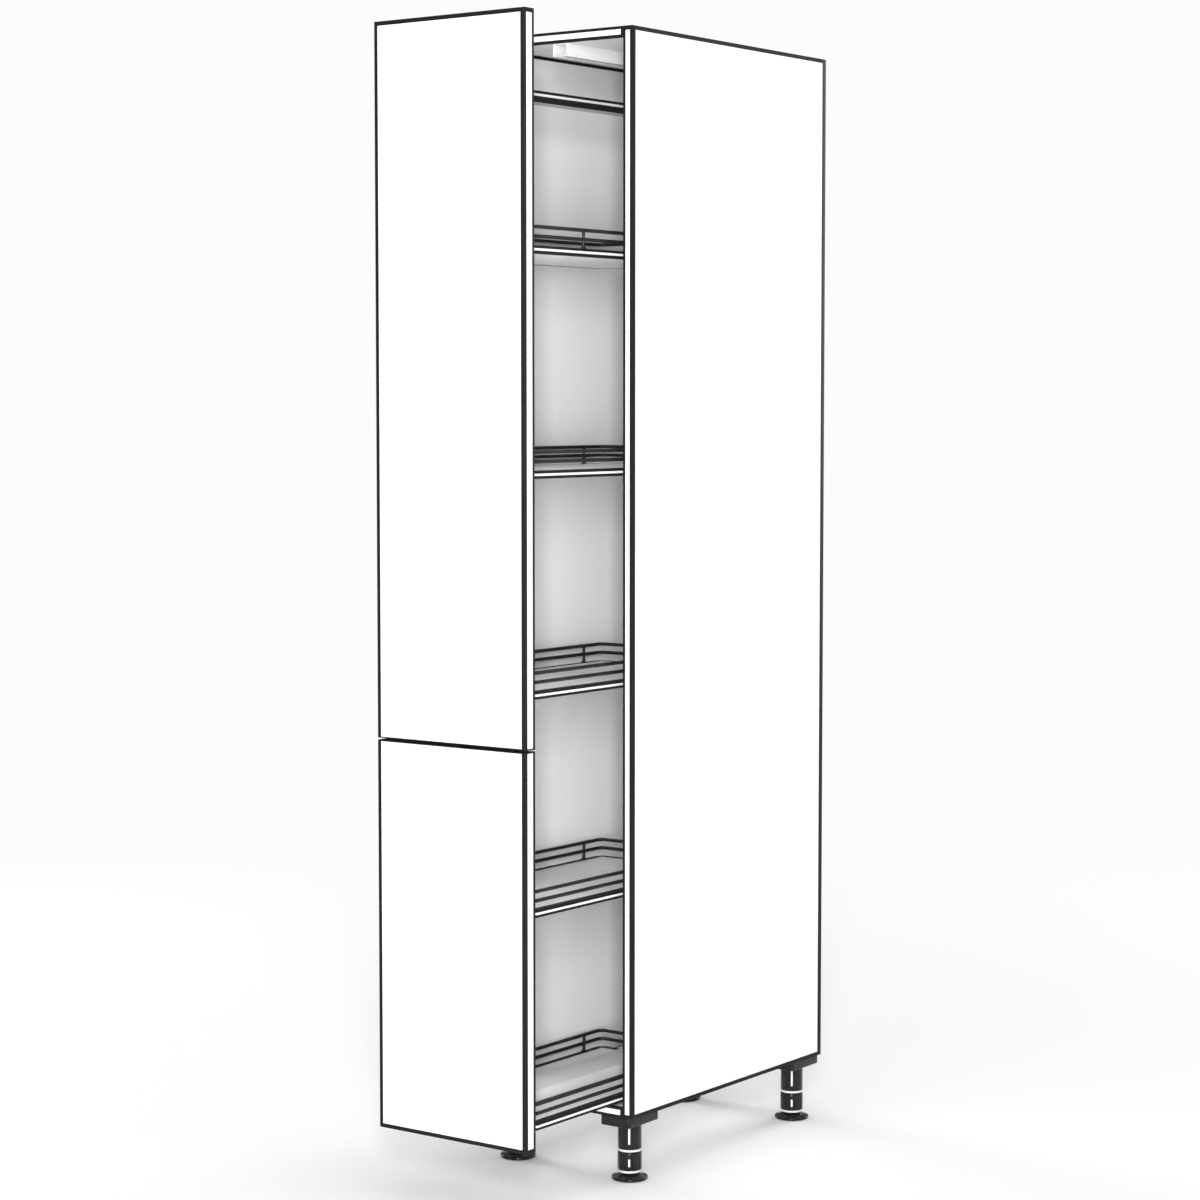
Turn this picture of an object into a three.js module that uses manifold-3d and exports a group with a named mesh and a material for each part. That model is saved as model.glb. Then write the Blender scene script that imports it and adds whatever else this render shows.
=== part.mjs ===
// Tall pull-out larder unit: a narrow carcass on adjustable feet, with a two-part front that
// draws out a central frame carrying five railed trays on both of its sides.
// Millimetres, +Z up, +X to the right seen from the front, -Y towards the user.
// Origin: on the floor, in the middle of the footprint with the unit drawn out as modelled.

import * as THREE from 'three';
import * as BufferGeometryUtils from 'three/addons/utils/BufferGeometryUtils.js';
import Module from 'manifold-3d';

const wasm = await Module();
wasm.setup();

// ---------------------------------------------------------------- driving dimensions

// Gaps between neighbours
const FIT_GAP = 0.3;                // round a piece that sits in another piece's cut
const RUN_GAP = 0.3;                // between rolling and sliding pieces
const CUT_PAST = 1;                 // how far a cutter runs on past the face that it opens

// Carcass
const CARCASS_WIDTH = 300;
const CARCASS_HEIGHT = 1755;
const CARCASS_DEPTH = 580;
const BOARD = 18;                   // sides, top and bottom
const BACK_THICKNESS = 5;
const BACK_RECESS = 15;             // behind the back panel
const BACK_GROOVE_DEPTH = 8;

// Adjustable feet
const FOOT_HEIGHT = 110;
const FOOT_SIDE_INSET = 5;          // plate edge to the carcass side
const FOOT_PLATE_WIDTH = 58;
const FOOT_PLATE_DEPTH = 85;
const FOOT_PLATE_THICKNESS = 16;
const SOCKET_RADIUS = 19.5;
const SOCKET_HEIGHT = 43;
const SOCKET_BORE_ROOF = 6;         // plate left above the bore
const COLLAR_RADIUS = 20;
const COLLAR_HEIGHT = 31;
const COLLAR_CHAMFER = 3;
const COLLAR_GAP = 4;               // between socket and collar
const COLLAR_GRIPS = 8;
const GRIP_RADIUS = 1.8;
const STEM_RADIUS = 8;
const STEM_LENGTH = 83;             // above the disc
const DISC_RADIUS = 30;
const DISC_RIM = 4;
const DISC_HEIGHT = 12;
const DISC_NECK_RADIUS = 14;

// Fronts
const FRONT_THICKNESS = 25;
const FRONT_REVEAL = 1.5;           // front edge inside the carcass edge, all round
const FRONT_JOINT = 3;              // between the two fronts
const LOWER_FRONT_HEIGHT = 625;
const FRONT_CHAMFER = 1;
const CLOSED_GAP = 2;               // fronts to carcass when shut
const BUMPER_RADIUS = 5;
const BUMPER_PLAY = 0.1;

// Travel
const OPENING = 250;                // drawn out this far as modelled
const FULL_TRAVEL = 500;

// Frame that carries the trays
const TUBE_WIDTH = 24;
const TUBE_DEPTH = 16;
const TUBE_WALL = 1.5;
const FRAME_REAR_GAP = 6;           // frame to back panel when shut
const FRONT_STANDOFF = 12;          // front upright behind the fronts
const BAR_SHEET = 1.7;
const TOP_BAR_HEIGHT = 18;
const TOP_BAR_DROP = 82;            // top bar below the top panel
const BOTTOM_BAR_HEIGHT = 12;

// Brackets between the front upright and the fronts
const FRONT_BRACKET_WIDTH = 80;
const FRONT_BRACKET_HEIGHT = 50;
const FRONT_BRACKET_SHEET = 3;
const FRONT_BRACKET_NECK = 30;
const FRONT_BRACKET_INSET = 110;    // centre from the nearer end of its front

// Trays
const TRAY_SIDE_GAP = 12;           // tray to the inside of the carcass
const TRAY_FRONT_GAP = 30;          // behind the fronts
const TRAY_REAR_GAP = 5;            // ahead of the rear upright
const TRAY_BOARD = 12.5;
const TRAY_CORNER = 15;
const SECOND_TRAY_LEVEL = 359;      // underside above the carcass's underside
const TRAY_SPACING = 342;           // from the second tray to the third, and on to the fourth
const TOP_TRAY_DROP = 266;          // underside of the top tray below the frame's top
const WIRE_RADIUS = 3;
const POST_RADIUS = 2.5;
const MID_RAIL_HEIGHT = 14;         // rail centres above the board
const TOP_RAIL_HEIGHT = 28.5;
const REAR_POST_SETBACK = 52;       // side posts ahead of the tray's rear edge
const MIDDLE_POST_SETBACK = 212;
const TOP_TRAY_POST_SETBACK = 368;  // a third pair that only the top tray has
const END_POST_SPREAD = 100;        // between the two posts on each end

// Brackets under the trays
const TRAY_BRACKET_SHEET = 2;
const TRAY_BRACKET_DROP = 36;
const TRAY_BRACKET_REACH = 60;      // under the board
const TRAY_BRACKET_RIB = 3;

// Steel saddle that lifts the middle of the lowest tray over the runner
const SADDLE_SHEET = 1.5;
const SADDLE_SIDE_GAP = 3;          // to the runner
const SADDLE_FLANGE = 29;
const SADDLE_FLOOR_GAP = 2.5;       // over the bottom panel

// Runner with three rails and two ball cages
const RUNNER_LENGTH = 500;
const RUNNER_SETBACK = 15;          // behind the carcass front
const RUNNER_WIDTH = 60;
const RAIL_SHEET = 1.5;
const FIXED_RAIL_HEIGHT = 18;
const MIDDLE_RAIL_HEIGHT = 14;
const MOVING_RAIL_HEIGHT = 14;
const RAIL_FLOOR_GAP = 1.5;         // between the floors of nested rails
const RACE_GAP = 6;                 // from groove to groove across a ball
const RACE_GROOVE_DEPTH = 1;
const RACE_GROOVE_HALF = 2;
const RACE_LEVEL = 10.5;            // ball centres above the bottom panel
const CAGE_LENGTH = 200;
const CAGE_SHEET = 0.7;
const CAGE_LIP = 2.5;               // cage strip above the ball centres
const BALLS_PER_SIDE = 6;

// Guide under the top panel
const CHANNEL_WIDTH = 27;
const CHANNEL_HEIGHT = 20;
const CHANNEL_SHEET = 1.5;
const CHANNEL_SLOT = 11;
const CHANNEL_SETBACK = 8;
const CHANNEL_REAR_GAP = 4;         // ahead of the back panel
const WHEEL_RADIUS = 7;
const WHEEL_WIDTH = 5.5;
const AXLE_RADIUS = 2;
const CARRIAGE_LENGTH = 30;
const CARRIAGE_FOOT = 4;
const NECK_THICKNESS = 8;

// Roundness
const WIRE_SIDES = 8;
const POST_SIDES = 6;
const CORNER_STEPS = 5;
const ROUND_SIDES = 24;
const SMALL_ROUND_SIDES = 12;
const BALL_SIDES = 6;
const BALL_RINGS = 4;

// ---------------------------------------------------------------- finishes

const FINISH = {
  board: { color: 0xf3f2ee, roughness: 0.45, metalness: 0 },
  front: { color: 0xf6f5f2, roughness: 0.35, metalness: 0 },
  backing: { color: 0xe9e8e4, roughness: 0.6, metalness: 0 },
  wire: { color: 0x26272a, roughness: 0.35, metalness: 0.6 },
  frame: { color: 0xd7d9db, roughness: 0.4, metalness: 0.5 },
  zinc: { color: 0xb4b7ba, roughness: 0.35, metalness: 0.9 },
  plastic: { color: 0x17181a, roughness: 0.4, metalness: 0 },
  nylon: { color: 0xe6e4dc, roughness: 0.5, metalness: 0 },
  rubber: { color: 0xd9dadb, roughness: 0.7, metalness: 0 },
};

// ---------------------------------------------------------------- places worked out once

const innerWidth = CARCASS_WIDTH - 2 * BOARD;
const restGap = CLOSED_GAP + OPENING;
const carcassFront = (restGap + FRONT_THICKNESS - CARCASS_DEPTH) / 2;
const carcassRear = carcassFront + CARCASS_DEPTH;
const carcassBottom = FOOT_HEIGHT;
const carcassTop = carcassBottom + CARCASS_HEIGHT;
const ceiling = carcassTop - BOARD;
const floorLevel = carcassBottom + BOARD;
const backFace = carcassRear - BACK_RECESS - BACK_THICKNESS;

// The pull-out's own lengthways places count back from the rear face of its fronts.
const frontRear = carcassFront - restGap;
const frameFront = frontRear + FRONT_STANDOFF;
const frameRear = backFace - FRAME_REAR_GAP - OPENING;
const frameLength = frameRear - frameFront;
const trayFront = frontRear + TRAY_FRONT_GAP;
const trayRear = frameRear - TUBE_DEPTH - TRAY_REAR_GAP;
const trayLength = trayRear - trayFront;
const trayMiddle = (trayFront + trayRear) / 2;
const trayWidth = innerWidth - 2 * TRAY_SIDE_GAP;

// Levels of the runner, the frame's bars and the lowest tray
const middleRailLevel = floorLevel + RAIL_SHEET + RAIL_FLOOR_GAP;
const movingRailLevel = middleRailLevel + RAIL_SHEET + RAIL_FLOOR_GAP;
const ballLevel = floorLevel + RACE_LEVEL;
const bottomBarLevel = movingRailLevel + MOVING_RAIL_HEIGHT;
const uprightFoot = bottomBarLevel + BAR_SHEET;
const topBarTop = ceiling - TOP_BAR_DROP;
const uprightHead = topBarTop - BAR_SHEET;
const barWidth = TUBE_WIDTH + 2 * (FIT_GAP + BAR_SHEET);
const saddleTop = bottomBarLevel + BOTTOM_BAR_HEIGHT + SADDLE_SHEET;
const saddleFlangeLevel = floorLevel + SADDLE_FLOOR_GAP;
const lowTrayLevel = saddleFlangeLevel + SADDLE_SHEET;
const saddleWidth = RUNNER_WIDTH + 2 * (SADDLE_SIDE_GAP + SADDLE_SHEET);

// Undersides of the trays over the lowest; the top one keeps its distance to the frame's top.
const pitchedTrays = [0, 1, 2].map((steps) => carcassBottom + SECOND_TRAY_LEVEL + steps * TRAY_SPACING);
const trayLevels = [...pitchedTrays, topBarTop - TOP_TRAY_DROP];

// ---------------------------------------------------------------- geometry helpers

const unit = new THREE.Group();
unit.name = 'pull_out_larder_unit';

function addPiece(name, geometry, finish) {
  const mesh = new THREE.Mesh(geometry, new THREE.MeshStandardMaterial(FINISH[finish]));
  mesh.name = name;
  unit.add(mesh);
  return mesh;
}

function toSolid(geometry) {
  const bare = geometry.clone();
  bare.deleteAttribute('normal');
  bare.deleteAttribute('uv');
  const merged = BufferGeometryUtils.mergeVertices(bare, 1e-4);
  const vertProperties = Float32Array.from(merged.attributes.position.array);
  const triVerts = Uint32Array.from(merged.index.array);
  return new wasm.Manifold(new wasm.Mesh({ numProp: 3, vertProperties, triVerts }));
}

function toGeometry(solid) {
  const mesh = solid.getMesh();
  const geometry = new THREE.BufferGeometry();
  geometry.setAttribute('position', new THREE.BufferAttribute(mesh.vertProperties, 3));
  geometry.setIndex(new THREE.BufferAttribute(mesh.triVerts, 1));
  geometry.computeVertexNormals();
  return geometry;
}

function joined(geometries) {
  const solids = geometries.map(toSolid);
  return toGeometry(solids.reduce((whole, next) => whole.add(next)));
}

function cut(geometry, cutters) {
  const solids = cutters.map(toSolid);
  return toGeometry(solids.reduce((whole, next) => whole.subtract(next), toSolid(geometry)));
}

// A box from its lowest to its highest corner.
function block(low, high) {
  const size = high.map((value, axis) => value - low[axis]);
  const centre = high.map((value, axis) => (value + low[axis]) / 2);
  return new THREE.BoxGeometry(...size).translate(...centre);
}

function outline(points) {
  return new THREE.Shape(points.map(([a, b]) => new THREE.Vector2(a, b)));
}

// A section drawn in X and Z, run along +Y from a starting place.
function alongY(shape, start, length, level = 0) {
  const geometry = new THREE.ExtrudeGeometry(shape, { depth: length, bevelEnabled: false });
  return geometry.rotateX(Math.PI / 2).translate(0, start + length, level);
}

// A section drawn in Y and Z, as wide as given, centred on X = 0.
function acrossX(shape, width) {
  const geometry = new THREE.ExtrudeGeometry(shape, { depth: width, bevelEnabled: false });
  return geometry.rotateX(Math.PI / 2).rotateZ(Math.PI / 2).translate(-width / 2, 0, 0);
}

// A plan drawn in X and Y, run up from a level.
function upright(shape, level, height, curveSegments = CORNER_STEPS) {
  const settings = { depth: height, bevelEnabled: false, curveSegments };
  return new THREE.ExtrudeGeometry(shape, settings).translate(0, 0, level);
}

function cylinder(radius, level, height, sides = ROUND_SIDES) {
  const geometry = new THREE.CylinderGeometry(radius, radius, height, sides);
  return geometry.rotateX(Math.PI / 2).translate(0, 0, level + height / 2);
}

// A turned body about +Z from [radius, level] pairs.
function turned(profile, sides = ROUND_SIDES) {
  const points = profile.map(([radius, level]) => new THREE.Vector2(radius, level));
  return new THREE.LatheGeometry(points, sides).rotateX(Math.PI / 2);
}

// A mirror-symmetric section from its right-hand half, listed from the bottom to the top
// on the outside and back down on the inside.
function mirrored(outside, inside) {
  const right = outside.concat(inside);
  const left = right.slice().reverse().map(([x, z]) => [-x, z]);
  return outline(right.concat(left));
}

// ---------------------------------------------------------------- carcass

// The room that the back panel needs, between two corners given as [x, z].
function backGroove(low, high) {
  const front = backFace - FIT_GAP;
  const rear = backFace + BACK_THICKNESS + FIT_GAP;
  return block([low[0], front, low[1]], [high[0], rear, high[1]]);
}

function rightSidePanel() {
  const outer = CARCASS_WIDTH / 2;
  const inner = outer - BOARD;
  const panel = block([inner, carcassFront, carcassBottom], [outer, carcassRear, carcassTop]);
  const low = [inner - CUT_PAST, carcassBottom - CUT_PAST];
  const high = [inner + BACK_GROOVE_DEPTH, carcassTop + CUT_PAST];
  return cut(panel, [backGroove(low, high)]);
}

// Both panels run between the sides, with the back's groove in the face that looks inwards.
function levelPanel(bottom, grooveLow) {
  const half = innerWidth / 2;
  const panel = block([-half, carcassFront, bottom], [half, carcassRear, bottom + BOARD]);
  const grooveHigh = grooveLow + BACK_GROOVE_DEPTH + CUT_PAST;
  const groove = backGroove([-half - CUT_PAST, grooveLow], [half + CUT_PAST, grooveHigh]);
  return cut(panel, [groove]);
}

function backPanel() {
  const reach = BACK_GROOVE_DEPTH - FIT_GAP;
  const half = innerWidth / 2 + reach;
  const low = [-half, backFace, floorLevel - reach];
  const high = [half, backFace + BACK_THICKNESS, ceiling + reach];
  return block(low, high);
}

function mirroredX(geometry) {
  const copy = geometry.clone().scale(-1, 1, 1);
  const index = copy.index.array;
  for (let i = 0; i < index.length; i += 3) {
    [index[i], index[i + 1]] = [index[i + 1], index[i]];
  }
  return copy;
}

addPiece('side_panel_right', rightSidePanel(), 'board');
addPiece('side_panel_left', mirroredX(rightSidePanel()), 'board');
addPiece('top_panel', levelPanel(ceiling, ceiling - CUT_PAST), 'board');
addPiece('bottom_panel', levelPanel(carcassBottom, floorLevel - BACK_GROOVE_DEPTH), 'board');
addPiece('back_panel', backPanel(), 'backing');

// ---------------------------------------------------------------- feet

const socketBottom = carcassBottom - FOOT_PLATE_THICKNESS - SOCKET_HEIGHT;
const collarTop = socketBottom - COLLAR_GAP;
const boreRadius = STEM_RADIUS + 2 * RUN_GAP;

// Screwed under the bottom panel, with a blind bore for the threaded stem.
function footMount() {
  const halfWidth = FOOT_PLATE_WIDTH / 2;
  const halfDepth = FOOT_PLATE_DEPTH / 2;
  const plateBottom = carcassBottom - FOOT_PLATE_THICKNESS;
  const plate = block([-halfWidth, -halfDepth, plateBottom], [halfWidth, halfDepth, carcassBottom]);
  const socket = cylinder(SOCKET_RADIUS, socketBottom, SOCKET_HEIGHT + FOOT_PLATE_THICKNESS);
  const boreBottom = socketBottom - CUT_PAST;
  const bore = cylinder(boreRadius, boreBottom, carcassBottom - SOCKET_BORE_ROOF - boreBottom);
  return cut(joined([plate, socket]), [bore]);
}

// The threaded ring that is turned by hand to set the height, with grip flutes round it.
function footCollar() {
  const bottom = collarTop - COLLAR_HEIGHT;
  const ring = turned([
    [boreRadius, bottom],
    [COLLAR_RADIUS, bottom],
    [COLLAR_RADIUS, collarTop - COLLAR_CHAMFER],
    [COLLAR_RADIUS - COLLAR_CHAMFER, collarTop],
    [boreRadius, collarTop],
    [boreRadius, bottom],
  ]);
  const flutes = [];
  for (let i = 0; i < COLLAR_GRIPS; i += 1) {
    const angle = (i / COLLAR_GRIPS) * 2 * Math.PI;
    const flute = cylinder(GRIP_RADIUS, bottom - CUT_PAST, COLLAR_HEIGHT + 2 * CUT_PAST, WIRE_SIDES);
    flutes.push(flute.translate(COLLAR_RADIUS * Math.cos(angle), COLLAR_RADIUS * Math.sin(angle), 0));
  }
  return cut(ring, flutes);
}

function footDisc() {
  return turned([
    [0, 0],
    [DISC_RADIUS, 0],
    [DISC_RADIUS, DISC_RIM],
    [DISC_NECK_RADIUS, DISC_HEIGHT],
    [STEM_RADIUS, DISC_HEIGHT],
    [STEM_RADIUS, DISC_HEIGHT + STEM_LENGTH],
    [0, DISC_HEIGHT + STEM_LENGTH],
  ]);
}

const footX = CARCASS_WIDTH / 2 - FOOT_SIDE_INSET - FOOT_PLATE_WIDTH / 2;
const footPlaces = {
  front_left: [-footX, carcassFront + FOOT_PLATE_DEPTH / 2],
  front_right: [footX, carcassFront + FOOT_PLATE_DEPTH / 2],
  rear_left: [-footX, carcassRear - FOOT_PLATE_DEPTH / 2],
  rear_right: [footX, carcassRear - FOOT_PLATE_DEPTH / 2],
};
for (const [corner, [x, y]] of Object.entries(footPlaces)) {
  addPiece(`foot_mount_${corner}`, footMount(), 'plastic').position.set(x, y, 0);
  addPiece(`foot_collar_${corner}`, footCollar(), 'plastic').position.set(x, y, 0);
  addPiece(`foot_disc_${corner}`, footDisc(), 'plastic').position.set(x, y, 0);
}

// ---------------------------------------------------------------- runner

const fixedHalf = RUNNER_WIDTH / 2;
const lowerRace = fixedHalf - RAIL_SHEET;                   // groove of the fixed rail
const middleOuter = lowerRace - RACE_GAP;                   // outer groove of the middle rail
const middleInner = middleOuter - RAIL_SHEET;               // inner groove of the middle rail
const movingOuter = middleInner - RACE_GAP;                 // groove of the moving rail
const grooveSlope = Math.hypot(RACE_GROOVE_DEPTH, RACE_GROOVE_HALF);
const ballRadius = (RACE_GAP / 2) * (RACE_GROOVE_HALF / grooveSlope) - RUN_GAP;

// Three points of a ball groove, going up, cut into a wall face at x; depth is signed.
function groove(x, depth) {
  const level = ballLevel;
  return [
    [x, level - RACE_GROOVE_HALF],
    [x + depth, level],
    [x, level + RACE_GROOVE_HALF],
  ];
}

function fixedRail() {
  const top = floorLevel + FIXED_RAIL_HEIGHT;
  const face = lowerRace - RACE_GROOVE_DEPTH;
  const inside = [[face, top], ...groove(face, RACE_GROOVE_DEPTH).reverse(), [face, floorLevel + RAIL_SHEET]];
  return mirrored([[fixedHalf, floorLevel], [fixedHalf, top]], inside);
}

function middleRail() {
  const top = middleRailLevel + MIDDLE_RAIL_HEIGHT;
  const outerFace = middleOuter + RACE_GROOVE_DEPTH;
  const innerFace = middleInner - RACE_GROOVE_DEPTH;
  const outside = [[outerFace, middleRailLevel], ...groove(outerFace, -RACE_GROOVE_DEPTH), [outerFace, top]];
  const inside = [
    [innerFace, top],
    ...groove(innerFace, RACE_GROOVE_DEPTH).reverse(),
    [innerFace, middleRailLevel + RAIL_SHEET],
  ];
  return mirrored(outside, inside);
}

// The moving rail is open downwards, and the frame's bottom bar lies on its back.
function movingRail() {
  const outerFace = movingOuter + RACE_GROOVE_DEPTH;
  const innerFace = movingOuter - RAIL_SHEET;
  const roof = bottomBarLevel - RAIL_SHEET;
  const outside = [
    [innerFace, roof],
    [innerFace, movingRailLevel],
    [outerFace, movingRailLevel],
    ...groove(outerFace, -RACE_GROOVE_DEPTH),
    [outerFace, bottomBarLevel],
  ];
  return mirrored(outside, []);
}

// A stamped strip turned up along both sides, holding a row of balls on each.
function ballCage(ballX, webLevel, start) {
  const half = CAGE_SHEET / 2;
  const top = ballLevel + CAGE_LIP;
  const inside = [[ballX - half, top], [ballX - half, webLevel + CAGE_SHEET]];
  const section = mirrored([[ballX + half, webLevel], [ballX + half, top]], inside);
  const parts = [alongY(section, start, CAGE_LENGTH)];
  for (let i = 0; i < BALLS_PER_SIDE; i += 1) {
    const y = start + ((i + 0.5) / BALLS_PER_SIDE) * CAGE_LENGTH;
    for (const side of [-1, 1]) {
      const ball = new THREE.SphereGeometry(ballRadius, BALL_SIDES, BALL_RINGS);
      parts.push(ball.translate(side * ballX, y, ballLevel));
    }
  }
  return joined(parts);
}

// Shut, all three rails lie over each other. Drawn right out, each cage fills the middle of
// the stretch that its two rails still share, and it moves half as far as they part.
const runnerShut = carcassFront + RUNNER_SETBACK;
const middleStart = runnerShut - OPENING / 2;
const movingStart = runnerShut - OPENING;
const toGo = FULL_TRAVEL - OPENING;
const lowerShared = runnerShut + (RUNNER_LENGTH - FULL_TRAVEL / 2) / 2;
const upperShared = lowerShared - FULL_TRAVEL / 2;
const lowerCageStart = lowerShared + toGo / 4 - CAGE_LENGTH / 2;
const upperCageStart = upperShared + (3 * toGo) / 4 - CAGE_LENGTH / 2;
const cageWebDrop = (RAIL_FLOOR_GAP + CAGE_SHEET) / 2;

addPiece('runner_fixed_rail', alongY(fixedRail(), runnerShut, RUNNER_LENGTH), 'zinc');
addPiece('runner_middle_rail', alongY(middleRail(), middleStart, RUNNER_LENGTH), 'zinc');
addPiece('runner_moving_rail', alongY(movingRail(), movingStart, RUNNER_LENGTH), 'zinc');
addPiece(
  'runner_lower_cage',
  ballCage((lowerRace + middleOuter) / 2, middleRailLevel - cageWebDrop, lowerCageStart),
  'zinc',
);
addPiece(
  'runner_upper_cage',
  ballCage((middleInner + movingOuter) / 2, movingRailLevel - cageWebDrop, upperCageStart),
  'zinc',
);

// ---------------------------------------------------------------- frame

function barSection(level, height, openUp) {
  const half = barWidth / 2;
  const inner = half - BAR_SHEET;
  const web = openUp ? level : level + height;
  const lip = openUp ? level + height : level;
  const inward = openUp ? BAR_SHEET : -BAR_SHEET;
  return mirrored([[half, web], [half, lip]], [[inner, lip], [inner, web + inward]]);
}

function uprightTube(front) {
  const halfX = TUBE_WIDTH / 2;
  const rear = front + TUBE_DEPTH;
  const plan = outline([[-halfX, front], [halfX, front], [halfX, rear], [-halfX, rear]]);
  const innerX = halfX - TUBE_WALL;
  const hole = outline([
    [-innerX, front + TUBE_WALL],
    [innerX, front + TUBE_WALL],
    [innerX, rear - TUBE_WALL],
    [-innerX, rear - TUBE_WALL],
  ]);
  plan.holes.push(hole);
  return upright(plan, uprightFoot, uprightHead - uprightFoot);
}

const topBarSection = barSection(topBarTop - TOP_BAR_HEIGHT, TOP_BAR_HEIGHT, false);
const bottomBarSection = barSection(bottomBarLevel, BOTTOM_BAR_HEIGHT, true);
addPiece('frame_front_upright', uprightTube(frameFront), 'frame');
addPiece('frame_rear_upright', uprightTube(frameRear - TUBE_DEPTH), 'frame');
addPiece('frame_top_bar', alongY(topBarSection, frameFront, frameLength), 'frame');
addPiece('frame_bottom_bar', alongY(bottomBarSection, frameFront, frameLength), 'frame');

// ---------------------------------------------------------------- guide under the top panel

const channelStart = carcassFront + CHANNEL_SETBACK;
const channelLength = backFace - CHANNEL_REAR_GAP - channelStart;
const carriageCentre = frameRear - CARRIAGE_LENGTH / 2;
const axleLevel = ceiling - CHANNEL_SHEET - RUN_GAP - WHEEL_RADIUS;
const wheelInner = NECK_THICKNESS / 2 + RUN_GAP;
const hubRadius = AXLE_RADIUS + RUN_GAP;

function guideChannel() {
  const half = CHANNEL_WIDTH / 2;
  const inner = half - CHANNEL_SHEET;
  const slot = CHANNEL_SLOT / 2;
  const bottom = ceiling - CHANNEL_HEIGHT;
  const right = [
    [half, ceiling],
    [half, bottom],
    [slot, bottom],
    [slot, bottom + CHANNEL_SHEET],
    [inner, bottom + CHANNEL_SHEET],
    [inner, ceiling - CHANNEL_SHEET],
  ];
  return alongY(mirrored(right, []), channelStart, channelLength);
}

// A foot on the top bar and a neck that reaches up through the channel's slot to the axle.
function guideCarriage() {
  const low = carriageCentre - CARRIAGE_LENGTH / 2;
  const high = carriageCentre + CARRIAGE_LENGTH / 2;
  const neckHalf = NECK_THICKNESS / 2;
  const neckTop = axleLevel + AXLE_RADIUS + CHANNEL_SHEET;
  const foot = block([-barWidth / 2, low, topBarTop], [barWidth / 2, high, topBarTop + CARRIAGE_FOOT]);
  const neck = block([-neckHalf, low, topBarTop], [neckHalf, high, neckTop]);
  const bore = cylinder(hubRadius, -NECK_THICKNESS, 2 * NECK_THICKNESS, SMALL_ROUND_SIDES);
  bore.rotateY(Math.PI / 2).translate(0, carriageCentre, axleLevel);
  return cut(joined([foot, neck]), [bore]);
}

function guideWheel() {
  const plan = new THREE.Shape().absarc(0, 0, WHEEL_RADIUS, 0, 2 * Math.PI);
  plan.holes.push(new THREE.Path().absarc(0, 0, hubRadius, 0, 2 * Math.PI, true));
  return upright(plan, -WHEEL_WIDTH / 2, WHEEL_WIDTH, SMALL_ROUND_SIDES).rotateY(Math.PI / 2);
}

function guideAxle() {
  const reach = wheelInner + WHEEL_WIDTH + RUN_GAP;
  return cylinder(AXLE_RADIUS, -reach, 2 * reach, SMALL_ROUND_SIDES).rotateY(Math.PI / 2);
}

addPiece('guide_channel', guideChannel(), 'zinc');
addPiece('guide_carriage', guideCarriage(), 'plastic');
addPiece('guide_axle', guideAxle(), 'zinc').position.set(0, carriageCentre, axleLevel);
for (const [side, sign] of [['left', -1], ['right', 1]]) {
  const wheel = addPiece(`guide_wheel_${side}`, guideWheel(), 'nylon');
  wheel.position.set(sign * (wheelInner + WHEEL_WIDTH / 2), carriageCentre, axleLevel);
}

// ---------------------------------------------------------------- fronts

const frontWidth = CARCASS_WIDTH - 2 * FRONT_REVEAL;
const frontsBottom = carcassBottom + FRONT_REVEAL;
const frontsTop = carcassTop - FRONT_REVEAL;
const lowerFrontTop = frontsBottom + LOWER_FRONT_HEIGHT;
const upperFrontBottom = lowerFrontTop + FRONT_JOINT;

function frontPanel(bottom, top) {
  const half = frontWidth / 2;
  const face = outline([[-half, bottom], [half, bottom], [half, top], [-half, top]]);
  const geometry = new THREE.ExtrudeGeometry(face, {
    depth: FRONT_THICKNESS - 2 * FRONT_CHAMFER,
    bevelThickness: FRONT_CHAMFER,
    bevelSize: FRONT_CHAMFER,
    bevelOffset: -FRONT_CHAMFER,
    bevelSegments: 1,
  });
  return geometry.rotateX(Math.PI / 2).translate(0, frontRear - FRONT_CHAMFER, 0);
}

function frontBracket(level) {
  const halfWidth = FRONT_BRACKET_WIDTH / 2;
  const halfHeight = FRONT_BRACKET_HEIGHT / 2;
  const neckX = TUBE_WIDTH / 2;
  const neckZ = FRONT_BRACKET_NECK / 2;
  const plateRear = frontRear + FRONT_BRACKET_SHEET;
  const plate = block(
    [-halfWidth, frontRear, level - halfHeight],
    [halfWidth, plateRear, level + halfHeight],
  );
  const neck = block([-neckX, frontRear, level - neckZ], [neckX, frameFront, level + neckZ]);
  return joined([plate, neck]);
}

// A soft stop between a front and the edge of the top or bottom panel.
function bumper(level) {
  const thickness = CLOSED_GAP - BUMPER_PLAY;
  const pad = cylinder(BUMPER_RADIUS, 0, thickness, SMALL_ROUND_SIDES);
  return pad.rotateX(-Math.PI / 2).translate(0, frontRear, level);
}

addPiece('front_lower', frontPanel(frontsBottom, lowerFrontTop), 'front');
addPiece('front_upper', frontPanel(upperFrontBottom, frontsTop), 'front');
const bracketLevels = [
  frontsBottom + FRONT_BRACKET_INSET,
  lowerFrontTop - FRONT_BRACKET_INSET,
  upperFrontBottom + FRONT_BRACKET_INSET,
  uprightHead - FRONT_BRACKET_INSET,
];
bracketLevels.forEach((level, i) => addPiece(`front_bracket_${i + 1}`, frontBracket(level), 'zinc'));
addPiece('front_bumper_bottom', bumper(carcassBottom + BOARD / 2), 'rubber');
addPiece('front_bumper_top', bumper(carcassTop - BOARD / 2), 'rubber');

// ---------------------------------------------------------------- trays

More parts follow.
